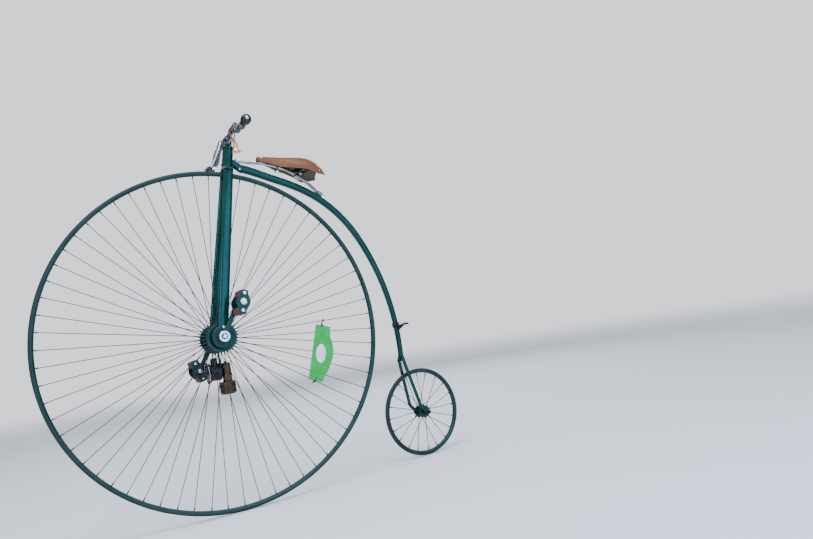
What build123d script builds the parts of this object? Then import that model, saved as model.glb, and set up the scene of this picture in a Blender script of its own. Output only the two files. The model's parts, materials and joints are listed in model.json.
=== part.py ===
"""Penny farthing bicycle, in millimetres.

Everything is drawn about the front hub: +X runs back to the small wheel, +Y to the rider's right, +Z up.
The steered pieces are drawn straight ahead and turned to the resting angle at the end. The finished pieces
are then moved so that the origin is the middle of the saddle's top.
"""

import math
import os

from build123d import *

# Overall sizes
front_radius = 710.0
rear_radius = 206.0
wheelbase = 941.5
rake = 12.0
steer_rest = 7.45
saddle_back = 450.0
saddle_above_wheel = 42.0

# Gaps: pieces of one body nearly touch, a shaft turns in its bore, and bodies pass clear of each other
seat = 0.25
running = 0.3
passing = 5.0

# Tyre and rim, the same section on both wheels
tyre_thick = 19.0
rim_wall = 2.4
rim_lip = 1.6

# Front hub, axle and bearings
axle_radius = 11.0
barrel_radius = 17.0
flange_radius = 61.0
flange_thick = 9.0
flange_half = 71.0
flange_web = 26.0
bearing_radius = 45.0
bearing_width = 18.5
bearing_lip = 7.0
web_dish = 1.0
axle_proud = 1.0
axle_square = 15.0
axle_square_long = 7.0

# Spokes
spoke_radius = 1.5
spoke_offset = 3.0
front_spokes_a_side = 32
rear_spokes_a_side = 10

# Fork and head
blade_deep = 42.0
blade_thick = 18.0
blade_top_half = 30.0
crown_height = 20.0
crown_gap = 8.0
crown_deep = 46.0
crown_across = 98.0
crown_top_deep = 44.0
crown_top_across = 50.0
steerer_radius = 12.7
head_radius = 23.0
head_length = 84.0
cup_radius = 25.5
cup_height = 9.0
head_cap_height = 11.0
neck_radius = 16.0
neck_flat_before = 3.5
neck_flat_long = 40.0
neck_up = 30.0

# Handlebar: from its middle each half runs through arcs of (radius, length), a negative radius turning up
straight = 1.0e6
bar_radius = 11.0
bar_arcs = (
    (straight, 26.0),
    (-320.0, 45.0),
    (1300.0, 98.0),
    (55.0, 50.0),
    (straight, 22.0),
    (-40.0, 36.0),
    (straight, 66.0),
)
bar_tilt = 2.5
bar_above_cap = 20.0
bar_forward = 7.0
clamp_width = 44.0
clamp_wall = 5.0
grip_length = 92.0
grip_cover = 62.0
grip_radius = 14.0
grip_waist = 13.0
knob_radius = 21.5

# Bell on its strap
bell_across = 112.0
bell_radius = 19.5
bell_waist = 12.4
bell_waist_down = 28.0
bell_shoulder = 10.5
bell_shoulder_down = 5.0
bell_crown = 7.0
bell_shoulder_round = 1.2
bell_height = 46.0
bell_wall = 2.0
strap_width = 16.0
strap_thick = 3.0
strap_tail = 6.0
strap_drop = 36.0

# Spoon brake: a pin in front of the bar's clamp carries the arm, and the spoon lies over the tyre
brake_pin_forward = 25.0
brake_pin_radius = 3.0
brake_lug_radius = 6.5
brake_lug_thick = 5.0
brake_eye_width = 14.0
spoon_start = 4.4
spoon_turn = 3.3
spoon_thick = 3.0
spoon_wrap = 66.0
spoon_socket_radius = 8.0
spoon_socket_angle = 6.35
spoon_socket_tall = 10.0
lever_radius = 4.0
lever_bend = 26.0
lever_tip = 6.5

# Brake arm from the pin down to the spoon: share of the way, bow to the back, width, thickness
arm_sections = (
    (0.0, 0.0, 12.0, 9.0),
    (0.3, 2.4, 19.0, 9.5),
    (0.66, 3.5, 19.0, 9.0),
    (1.0, 0.0, 12.0, 8.0),
)

# Brake lever from its boss on the pin: out along the bar, up from the bar's middle, forward of it
lever_points = (
    (26.0, -1.0, 26.0),
    (76.0, -17.0, 27.0),
    (158.0, -21.0, 25.0),
    (222.0, -60.0, 22.0),
    (300.0, -62.0, 19.0),
)

# Cranks and pedals
crank_length = 140.0
crank_angle = 31.0
crank_thick = 15.0
crank_boss = 24.5
crank_end = 14.0
crank_arm_root = 10.5
crank_arm_tip = 7.5
crank_nut = 22.0
crank_nut_thick = 6.0
nut_chamfer = 1.5
pedal_width = 96.0
pedal_plate = 3.5
pedal_waist = 28.0
pedal_bolts = 34.5
pedal_tip = 14.0
spindle_radius = 7.0
pedal_tube = 10.5
rubber_tall = 27.0
rubber_deep = 34.0
rubber_round = 5.4
pedal_nut = 12.5
pedal_nut_thick = 7.0
bolt_head = 7.0
pedal_tilts = {"left": 14.0, "right": -18.0}

# Lamp that hangs from the hub
collar_wall = 4.0
collar_width = 36.0
lamp_drop = 136.0
lamp_forward = 60.0
bezel_radius = 46.0
bezel_thick = 12.0
bezel_wall = 5.0
lamp_radius = 35.0
lamp_depth = 42.0
lamp_wall = 5.0
lamp_ribs = 5
rib_proud = 3.0
lens_thick = 3.0
chimney_radius = 14.0
chimney_height = 16.0
generator_radius = 20.0
generator_top = 103.0
tank_radius = 34.0
tank_top = 181.0
tank_bottom = 235.0
hanger_thick = 4.0
hanger_width = 22.0
tank_forward = 10.0
tank_round = 11.0

# Plate tied to the spokes, blank
plate_radius = 428.0
plate_angle = 108.0
plate_height = 238.0
plate_width = 62.0
plate_arch = 22.0
plate_thick = 2.0

# Backbone: the centre line starts behind the neck and runs through arcs of (radius, length). The last arc
# ends at a height above the small tyre.
spine_behind_neck = 52.3
spine_below_neck = 42.0
spine_heading = -17.1
spine_upper_arcs = ((2470.0, 262.5), (589.0, 383.0))
spine_lower_radius = 1055.0
spine_above_tyre = 83.1
spine_top_radius = 18.0
spine_end_radius = 12.5
spine_sections = 13

# Rear fork
rear_crown_height = 34.0
rear_crown_half = 29.0
rear_crown_deep = 22.0
rear_blade_radius = 8.0
rear_blade_top_half = 20.0
rear_fork_half = 47.0
rear_bend_forward = 32.5
rear_bend_up = 34.0
rear_bend_radius = 40.0
dropout_radius = 14.5
dropout_thick = 6.0

# Rear hub and axle
rear_barrel_radius = 13.0
rear_flange_radius = 28.0
rear_flange_half = 22.0
rear_flange_thick = 6.0
rear_axle_radius = 5.0
rear_axle_half = 70.0
rear_hub_half = 33.0
cone_radius = 9.0
axle_nut_radius = 10.0
axle_nut_thick = 9.0

# Mounting step
step_above_foot = 140.5
step_length = 72.0
step_deep = 34.0
step_thick = 5.0
step_lip = 9.0
step_rib = 24.0
step_rib_length = 58.0
band_wall = 3.5
band_width = 20.0

# Leaf spring and saddle
spring_before_spine = 19.9
spring_above_spine = 34.7
spring_heading = -9.5
spring_arcs = ((-1256.0, 103.0), (394.0, 306.0), (-220.0, 36.0))
spring_width = 24.0
spring_thick = 5.0
spring_slot = 0.7
spring_bolt_radius = 5.5
spring_bolt_head = 9.0
spring_bolt_tall = 7.0
spring_bolt_back = 9.0
perch_tall = 3.0
clip_length = 26.0
clip_wall = 4.0
clip_foot_width = 20.0
clip_foot_tall = 18.0
perch_radius = 11.0
saddle_nose = 153.0
leather_thick = 5.0
leather_gap = 0.6
nose_plate = (8.0, 28.0)
cantle_place = (241.0, 249.0)
cantle_thick = 3.0
rail_radius = 4.0
rail_bend = 30.0
saddle_clamp_behind = 32.0
saddle_clamp_length = 30.0
saddle_clamp_wall = 6.0
clamp_post_width = 24.0
clamp_post_long = 21.0
clamp_bridge_behind = 10.0
clamp_bridge_drop = 4.0
clamp_bridge_tall = 16.0
clamp_bridge_long = 24.0
stay_before = 62.0
stay_radius = 4.0
stay_drop = 26.0
stay_tall = 24.0
stay_nut = 8.0
stay_bar_up = 17.0
stay_bar_long = 16.0
stay_bar_tall = 11.2

# Saddle leather across: distance from the nose, half width, top above the middle, drop from top to edge
leather_sections = (
    (0.0, 16.5, 9.0, 23.0),
    (45.0, 26.0, 7.0, 34.0),
    (95.0, 40.0, 3.0, 50.0),
    (150.0, 63.0, 0.0, 59.0),
    (205.0, 87.0, -4.0, 70.0),
    (245.0, 92.0, -16.0, 80.0),
    (280.0, 68.0, -44.0, 54.0),
    (302.0, 42.0, -70.0, 30.0),
)

# Saddle rails from the nose to the cantle: back from the saddle's middle, half spread, up from its top
rail_places = (
    (-138.0, 6.0, -10.0),
    (-55.0, 18.0, -26.0),
    (18.0, 27.0, -53.0),
    (64.0, 33.0, -62.0),
    (92.0, 40.0, -60.0),
)

os.makedirs("parts", exist_ok=True)

front_hub = Vector(0, 0, 0)
rear_hub = Vector(wheelbase, 0, rear_radius - front_radius)
wheel_axis = Axis((0, 0, 0), (0, 1, 0))
rake_sine = math.sin(math.radians(rake))
rake_cosine = math.cos(math.radians(rake))
steer_axis = Axis((0, 0, 0), (rake_sine, 0, rake_cosine))
head_frame = Plane(origin=(0, 0, 0), x_dir=(rake_cosine, 0, -rake_sine), z_dir=(rake_sine, 0, rake_cosine))
sides = {"left": -1, "right": 1}
half_turn = 180.0

# The saddle and its rails
saddle_up = front_radius + saddle_above_wheel
saddle_nose_back = saddle_back - saddle_nose
saddle_clamp_back = saddle_back + saddle_clamp_behind
stay_back = saddle_back - stay_before
rail_points = [(saddle_back + back, half, saddle_up + up) for back, half, up in rail_places]


def save(part, label, turned=False):
    """Turn a steered piece to rest, move the origin to the saddle, then label and write the piece."""
    if turned:
        part = part.rotate(steer_axis, -steer_rest)
    part = part.moved(Location((-saddle_back, 0, -saddle_up)))
    part.label = label
    export_step(part, f"parts/{label}.step")
    return part


def across(height, back=0.0, up=0.0):
    """Plane facing +Y at a distance to the right, with its X back and its Y down."""
    return Plane(origin=(back, height, up), x_dir=(1, 0, 0), z_dir=(0, 1, 0))


def along(start, heading, arcs, distance):
    """Point and heading after a distance along a chain of tangent arcs."""
    back, up = start
    angle = math.radians(heading)
    for radius, length in arcs:
        step = min(distance, length)
        turned = angle - step / radius
        back += radius * (math.sin(angle) - math.sin(turned))
        up += radius * (math.cos(turned) - math.cos(angle))
        angle = turned
        distance -= step
        if distance <= 0:
            break
    return back, up, math.degrees(angle)


def chain_plane(start, heading, arcs, distance):
    """Plane across a chain of arcs, facing along it, with its X to the rider's right."""
    back, up, angle = along(start, heading, arcs, distance)
    facing = (math.cos(math.radians(angle)), 0, math.sin(math.radians(angle)))
    return Plane(origin=(back, 0, up), x_dir=(0, 1, 0), z_dir=facing)


# Heights along the steering axis, and the starts of the backbone and the spring behind the head
crown_bottom = front_radius + crown_gap
crown_top = crown_bottom + crown_height
head_bottom = crown_top + running
head_top = head_bottom + head_length
neck_start = Vector(rake_sine, 0, rake_cosine) * (head_bottom + neck_up)
spine_start = (neck_start.X + spine_behind_neck, neck_start.Z - spine_below_neck)
spring_start = (spine_start[0] - spring_before_spine, spine_start[1] + spring_above_spine)

# The backbone's last arc, from where the upper ones end to its foot
spine_upper_run = sum(length for radius, length in spine_upper_arcs)
bend_back, bend_up, bend_heading = along(spine_start, spine_heading, spine_upper_arcs, spine_upper_run)
spine_foot_up = rear_hub.Z + rear_radius + spine_above_tyre
foot_cosine = math.cos(math.radians(bend_heading)) + (spine_foot_up - bend_up) / spine_lower_radius
foot_turn = math.radians(bend_heading) + math.acos(foot_cosine)
spine_arcs = spine_upper_arcs + ((spine_lower_radius, spine_lower_radius * foot_turn),)


def spine_plane(distance):
    return chain_plane(spine_start, spine_heading, spine_arcs, distance)


def spring_plane(distance):
    return chain_plane(spring_start, spring_heading, spring_arcs, distance)


def upright_plane(place):
    """Plane on the spring's top side, facing away from it."""
    return Plane(origin=place.origin, x_dir=(0, 1, 0), z_dir=(-place.z_dir.Z, 0, place.z_dir.X))


# Wheels: tyre, rim, hub and spokes
tyre_radius = tyre_thick / 2
rim_outer = tyre_radius + seat + rim_wall


def make_tyre(hub, radius):
    with BuildPart() as tyre:
        with BuildSketch(Plane(origin=hub)):
            with Locations((radius - tyre_radius, 0)):
                Circle(tyre_radius)
        revolve(axis=Axis(hub, (0, 1, 0)))
    return tyre.part


def make_rim(hub, radius):
    tread = radius - tyre_radius
    with BuildPart() as rim:
        with BuildSketch(Plane(origin=hub)):
            with Locations((tread, 0)):
                Circle(rim_outer)
                Circle(tyre_radius + seat, mode=Mode.SUBTRACT)
            with Locations((tread + rim_lip + rim_outer, 0)):
                Rectangle(2 * rim_outer, 3 * rim_outer, mode=Mode.SUBTRACT)
        revolve(axis=Axis(hub, (0, 1, 0)))
    return rim.part


def make_spokes(hub, radius, from_radius, from_half, a_side):
    """Straight spokes from the flanges' rims to the wheel rim, left and right in turn."""
    to_radius = radius - tyre_radius - rim_outer - seat
    planes = []
    length = 0.0
    for index in range(2 * a_side):
        side = 1 if index % 2 else -1
        angle = math.pi * index / a_side
        outward = Vector(math.sin(angle), 0, math.cos(angle))
        start = hub + outward * (from_radius + seat) + Vector(0, side * from_half, 0)
        end = hub + outward * to_radius + Vector(0, side * spoke_offset, 0)
        planes.append(Plane(origin=start, z_dir=(end - start)))
        length = (end - start).length
    with BuildPart() as spokes:
        with BuildSketch(*planes):
            Circle(spoke_radius)
        extrude(amount=length)
    return spokes.part


def make_front_hub():
    """Barrel with dished flanges on a through axle."""
    inner = flange_half - flange_thick / 2
    outer = flange_half + flange_thick / 2
    half = [
        (barrel_radius, 0),
        (barrel_radius, inner - flange_web / 2),
        (flange_web, inner - web_dish),
        (flange_radius - flange_thick, inner),
        (flange_radius, inner),
        (flange_radius, outer),
        (flange_radius - flange_thick, outer),
        (flange_web, inner + flange_thick / 2),
        (axle_radius, inner + flange_thick / 2),
        (axle_radius, axle_half),
        (0, axle_half),
    ]
    points = half + [(radius, -place) for radius, place in reversed(half[1:])]
    with BuildPart() as hub:
        with BuildSketch(Plane.XY):
            with BuildLine():
                Polyline(*points, close=True)
            make_face()
        revolve(axis=wheel_axis)
        with BuildSketch(across(-axle_half - axle_square_long)):
            Rectangle(axle_square, axle_square, rotation=crank_angle)
        extrude(amount=2 * (axle_half + axle_square_long))
    return hub.part


bearing_inner = flange_half + flange_thick / 2 + passing
bearing_outer = bearing_inner + bearing_width
crank_inner = bearing_outer + passing
crank_outer = crank_inner + crank_thick
axle_half = crank_outer + crank_nut_thick + axle_proud

save(make_tyre(front_hub, front_radius), "front_tyre", turned=True)
save(make_rim(front_hub, front_radius), "front_rim", turned=True)
save(make_front_hub(), "front_hub", turned=True)
front_spokes = make_spokes(front_hub, front_radius, flange_radius, flange_half, front_spokes_a_side)
save(front_spokes, "front_spokes", turned=True)

save(make_tyre(rear_hub, rear_radius), "rear_tyre")
save(make_rim(rear_hub, rear_radius), "rear_rim")
rear_spokes = make_spokes(rear_hub, rear_radius, rear_flange_radius, rear_flange_half, rear_spokes_a_side)
save(rear_spokes, "rear_spokes")

with BuildPart() as rear_hub_shell:
    with BuildSketch(across(-rear_hub_half, rear_hub.X, rear_hub.Z)):
        Circle(rear_barrel_radius)
    extrude(amount=2 * rear_hub_half)
    for side in sides.values():
        with BuildSketch(across(side * rear_flange_half - rear_flange_thick / 2, rear_hub.X, rear_hub.Z)):
            Circle(rear_flange_radius)
        extrude(amount=rear_flange_thick)
    with BuildSketch(across(-rear_hub_half, rear_hub.X, rear_hub.Z)):
        Circle(rear_axle_radius + running)
    extrude(amount=2 * rear_hub_half, mode=Mode.SUBTRACT)
save(rear_hub_shell.part, "rear_hub")

# Fork: crown with its steerer, two oval blades and the bearing cases at their feet
blade_foot_half = (bearing_inner + bearing_outer) / 2

with BuildPart() as fork_crown:
    with BuildSketch(head_frame.offset(crown_bottom)):
        SlotOverall(crown_across, crown_deep, rotation=90)
    with BuildSketch(head_frame.offset(crown_top)):
        SlotOverall(crown_top_across, crown_top_deep, rotation=90)
    loft()
    with BuildSketch(head_frame.offset(crown_top)):
        Circle(steerer_radius)
    extrude(amount=running + head_length + running)
save(fork_crown.part, "fork_crown", turned=True)

for name, side in sides.items():
    with BuildPart() as blade:
        for height, half in ((0.0, blade_foot_half), (crown_bottom, blade_top_half)):
            with BuildSketch(head_frame.offset(height)):
                with Locations((0, side * half)):
                    Ellipse(blade_deep / 2, blade_thick / 2)
        loft(ruled=True)
        with BuildSketch(across(-axle_half)):
            Circle(bearing_radius + seat)
        extrude(amount=2 * axle_half, mode=Mode.SUBTRACT)
        split(bisect_by=head_frame.offset(axle_radius), keep=Keep.TOP)
    save(blade.part, f"fork_{name}", turned=True)

    with BuildPart() as bearing:
        with BuildSketch(Plane.XY):
            with BuildLine():
                Polyline(
                    (axle_radius + running, side * bearing_inner),
                    (bearing_radius - bearing_lip / 2, side * bearing_inner),
                    (bearing_radius, side * (bearing_inner + bearing_lip / 2)),
                    (bearing_radius, side * (bearing_outer - bearing_lip / 2)),
                    (bearing_radius - bearing_lip / 2, side * bearing_outer),
                    (bearing_radius - bearing_lip, side * bearing_outer),
                    (bearing_radius - bearing_lip, side * (bearing_outer - bearing_lip / 2)),
                    (crank_boss, side * (bearing_outer - bearing_lip / 2)),
                    (crank_boss - web_dish, side * bearing_outer),
                    (axle_radius + running, side * bearing_outer),
                    close=True,
                )
            make_face()
        revolve(axis=wheel_axis)
    save(bearing.part, f"bearing_{name}", turned=True)

# Head tube with its cups and the neck that holds the backbone, cut flat under the spring's bolt
spine_top = spine_plane(0)
bolt_place = spring_plane(spring_bolt_back)
bolt_frame = upright_plane(bolt_place)
with BuildPart() as head:
    with BuildSketch(head_frame.offset(head_bottom)):
        Circle(cup_radius)
    extrude(amount=cup_height)
    with BuildSketch(head_frame.offset(head_bottom)):
        Circle(head_radius)
    extrude(amount=head_length)
    with BuildSketch(head_frame.offset(head_top - cup_height)):
        Circle(cup_radius)
    extrude(amount=cup_height)
    neck_facing = spine_top.origin - neck_start
    with BuildSketch(Plane(origin=neck_start, x_dir=(0, 1, 0), z_dir=neck_facing)):
        Circle(neck_radius)
    with BuildSketch(spine_top):
        Circle(spine_top_radius)
    loft()
    with BuildSketch(head_frame.offset(head_bottom)):
        Circle(steerer_radius + running)
    extrude(amount=head_length, mode=Mode.SUBTRACT)
    flat_back = neck_flat_before - neck_flat_long
    with BuildSketch(bolt_frame.offset(-spring_thick / 2 - perch_tall - 2 * seat)):
        with Locations((0, spring_bolt_back + flat_back / 2)):
            Rectangle(2 * head_radius, neck_flat_long + neck_flat_before)
    extrude(amount=neck_flat_long, mode=Mode.SUBTRACT)
save(head.part, "head")

# Handlebar, its clamp on the steerer, and the grips
cap_bottom = head_top + running
bar_height = cap_bottom + head_cap_height + bar_above_cap

bar_middle = head_frame.from_local_coords((-bar_forward, 0, bar_height))
bar_plane = Plane(origin=bar_middle, x_dir=(0, 1, 0), z_dir=head_frame.x_dir)
bar_plane = bar_plane.rotated((0, 0, -bar_tilt))

with BuildPart() as bar_clamp:
    with BuildSketch(head_frame.offset(cap_bottom)):
        Circle(cup_radius)
    with BuildSketch(head_frame.offset(cap_bottom + head_cap_height)):
        Circle(bar_radius + clamp_wall)
    loft()
    with BuildSketch(head_frame.offset(cap_bottom + head_cap_height)):
        Circle(bar_radius + clamp_wall)
    extrude(amount=bar_above_cap)
    clamp_frame = Plane(origin=bar_plane.from_local_coords((-clamp_width / 2, 0, 0)), z_dir=bar_plane.x_dir)
    with BuildSketch(clamp_frame):
        Circle(bar_radius + clamp_wall)
    extrude(amount=clamp_width)
    with BuildSketch(clamp_frame):
        Circle(bar_radius + seat)
    extrude(amount=clamp_width, mode=Mode.SUBTRACT)
save(bar_clamp.part, "bar_clamp", turned=True)


bar_run = sum(length for radius, length in bar_arcs)


def bar_place(side, distance):
    """Point on one half of the bar and its outward direction."""
    out, up, angle = along((0, 0), 0, bar_arcs, distance)
    point = bar_plane.from_local_coords((side * out, up, 0))
    tip = (side * (out + math.cos(math.radians(angle))), up + math.sin(math.radians(angle)), 0)
    return point, bar_plane.from_local_coords(tip) - point


with BuildPart() as handlebar:
    for side in sides.values():
        with BuildLine() as bar_line:
            reached = 0.0
            for radius, length in bar_arcs:
                start, middle, end = (bar_place(side, reached + length * share)[0] for share in (0, 0.5, 1))
                if radius == straight:
                    Line(start, end)
                else:
                    ThreePointArc(start, middle, end)
                reached += length
        with BuildSketch(Plane(origin=bar_place(side, 0)[0], z_dir=bar_place(side, 0)[1])):
            Circle(bar_radius)
        sweep()
save(handlebar.part, "handlebar", turned=True)

for name, side in sides.items():
    grip_start, grip_facing = bar_place(side, bar_run - grip_cover)
    grip_side = Plane(origin=grip_start, z_dir=grip_facing).x_dir
    grip_frame = Plane(origin=grip_start, x_dir=grip_side, z_dir=grip_side.cross(grip_facing))
    knob_place = grip_length - knob_radius
    with BuildPart() as grip:
        with BuildSketch(grip_frame):
            with BuildLine():
                Polyline((0, grip_length), (0, 0), (grip_radius, 0), (grip_waist, grip_cover / 3))
                Spline(
                    (grip_waist, grip_cover / 3),
                    (knob_radius, knob_place),
                    (0, grip_length),
                    tangents=((0, 1), (-1, 0)),
                )
            make_face()
        revolve(axis=Axis(grip_start, grip_facing))
        with BuildSketch(Plane(origin=grip_start, z_dir=grip_facing)):
            Circle(bar_radius + seat)
        extrude(amount=grip_cover + seat, mode=Mode.SUBTRACT)
    save(grip.part, f"grip_{name}", turned=True)

# Bell that hangs from the bar on a leather strap
bell_place, bell_facing = bar_place(-1, bell_across)
strap_outer = bar_radius + seat + strap_thick
bell_top = bell_place - Vector(0, 0, strap_outer + strap_drop)
strap_plane = Plane(
    origin=bell_place - bell_facing * strap_width / 2, x_dir=(1, 0, 0), z_dir=bell_facing
)
tongue = strap_plane.to_local_coords(bell_top) + Vector(0, strap_tail / 2)
with BuildPart() as bell_strap:
    with BuildSketch(strap_plane):
        Circle(strap_outer)
        with Locations((tongue.X, tongue.Y)):
            Circle(strap_tail / 2)
        make_hull()
    extrude(amount=strap_width)
    with BuildSketch(strap_plane.offset(-strap_width / 2)):
        Circle(strap_outer - strap_thick)
        with Locations((tongue.X, tongue.Y + 2 * strap_tail)):
            Circle(strap_tail / 2)
        make_hull()
    extrude(amount=2 * strap_width, mode=Mode.SUBTRACT)
save(bell_strap.part, "bell_strap", turned=True)

with BuildPart() as bell:
    bell_frame = Plane(origin=bell_top, x_dir=(1, 0, 0), z_dir=(0, -1, 0))
    with BuildSketch(bell_frame):
        with BuildLine():
            outer_crown = (bell_crown, -seat)
            outer_shoulder = (bell_shoulder, -bell_shoulder_down)
            outer_mouth = (bell_radius, -bell_height)
            inner_shoulder = (bell_shoulder - bell_wall, -bell_shoulder_down)
            inner_mouth = (bell_radius - bell_wall, -bell_height)
            Line((0, -seat), outer_crown)
            SagittaArc(outer_crown, outer_shoulder, bell_shoulder_round)
            ThreePointArc(outer_shoulder, (bell_waist, -bell_waist_down), outer_mouth)
            Line(outer_mouth, inner_mouth)
            ThreePointArc(inner_mouth, (bell_waist - bell_wall, -bell_waist_down), inner_shoulder)
            Polyline(inner_shoulder, (0, -seat - bell_wall), (0, -seat))
        make_face()
    revolve(axis=Axis(bell_top, (0, 0, 1)))
save(bell.part, "bell", turned=True)

# Spoon brake: lugs and pin on the bar's clamp, the arm with its eye, the spoon with its socket, and the lever
brake_pin = bar_middle - Vector(brake_pin_forward, 0, 0)
spoon_crown = front_radius + passing + spoon_thick
socket_way = Vector(math.sin(math.radians(spoon_socket_angle)), 0, math.cos(math.radians(spoon_socket_angle)))
socket_foot = socket_way * spoon_crown
arm_way = (socket_foot - brake_pin).normalized()
arm_end = socket_foot - arm_way * (spoon_socket_tall + seat)
arm_back = Vector(-arm_way.Z, 0, arm_way.X)
lug_inner = brake_eye_width / 2 + running
lug_outer = lug_inner + brake_lug_thick


def pin_plane(height):
    """Plane across the brake's pin at a distance to the right."""
    return across(height, brake_pin.X, brake_pin.Z)


with BuildPart() as brake_bracket:
    for height in (-lug_outer, lug_inner):
        with BuildSketch(pin_plane(height)):
            Circle(brake_lug_radius)
            with Locations((brake_pin_forward / 2, 0)):
                Circle(brake_lug_radius)
            make_hull()
        extrude(amount=brake_lug_thick)
    with BuildSketch(pin_plane(-lug_outer)):
        Circle(brake_pin_radius)
    extrude(amount=lug_outer + lever_points[0][0] + lever_radius)
    with BuildSketch(clamp_frame.offset(-clamp_width)):
        Circle(bar_radius + clamp_wall + seat)
    extrude(amount=3 * clamp_width, mode=Mode.SUBTRACT)
save(brake_bracket.part, "brake_bracket", turned=True)

with BuildPart() as brake_arm:
    for share, bow, width, thick in arm_sections:
        middle = brake_pin + (arm_end - brake_pin) * share + arm_back * bow
        with BuildSketch(Plane(origin=middle, x_dir=(0, 1, 0), z_dir=arm_way)) as arm_section:
            Ellipse(width / 2, thick / 2)
    loft()
    with BuildSketch(pin_plane(-brake_eye_width / 2)):
        Circle(brake_lug_radius)
    extrude(amount=brake_eye_width)
    with BuildSketch(pin_plane(-brake_eye_width)):
        Circle(brake_pin_radius + running)
    extrude(amount=2 * brake_eye_width, mode=Mode.SUBTRACT)
save(brake_arm.part, "brake_arm", turned=True)

with BuildPart() as brake_spoon:
    spoon_way = Vector(math.sin(math.radians(spoon_start)), 0, math.cos(math.radians(spoon_start)))
    spoon_plane = Plane(origin=(0, 0, 0), x_dir=(0, 1, 0), z_dir=Vector(0, 1, 0).cross(spoon_way))
    hollow = tyre_radius + passing
    with BuildSketch(spoon_plane):
        with BuildLine():
            tread = (0, front_radius - tyre_radius)
            start = half_turn / 2 - spoon_wrap
            inner_arc = CenterArc(tread, hollow, start, 2 * spoon_wrap)
            outer_arc = CenterArc(tread, hollow + spoon_thick, start, 2 * spoon_wrap)
            Line(inner_arc @ 0, outer_arc @ 0)
            Line(inner_arc @ 1, outer_arc @ 1)
        make_face()
    revolve(axis=wheel_axis, revolution_arc=spoon_turn)
    with BuildSketch(Plane(origin=socket_foot - arm_way * spoon_socket_tall, z_dir=arm_way)):
        Circle(spoon_socket_radius)
    extrude(amount=spoon_socket_tall + spoon_thick / 2)
    with BuildSketch(across(-front_radius / 2)):
        Circle(front_radius + passing)
    extrude(amount=front_radius, mode=Mode.SUBTRACT)
save(brake_spoon.part, "brake_spoon", turned=True)

lever_line = [bar_plane.from_local_coords((out, up, -forward)) for out, up, forward in lever_points]
with BuildPart() as brake_lever:
    with BuildSketch(pin_plane(lug_outer + running)):
        Circle(brake_lug_radius)
    extrude(amount=lever_points[0][0] - lug_outer)
    with BuildLine() as lever_path:
        FilletPolyline(*lever_line, radius=lever_bend)
    with BuildSketch(Plane(origin=lever_line[0], z_dir=lever_path.line % 0)):
        Circle(lever_radius)
    sweep()
    with Locations(lever_line[-1]):
        Sphere(lever_tip)
    with BuildSketch(pin_plane(0)):
        Circle(brake_pin_radius + seat)
    extrude(amount=3 * brake_eye_width, mode=Mode.SUBTRACT)
save(brake_lever.part, "brake_lever", turned=True)

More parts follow.
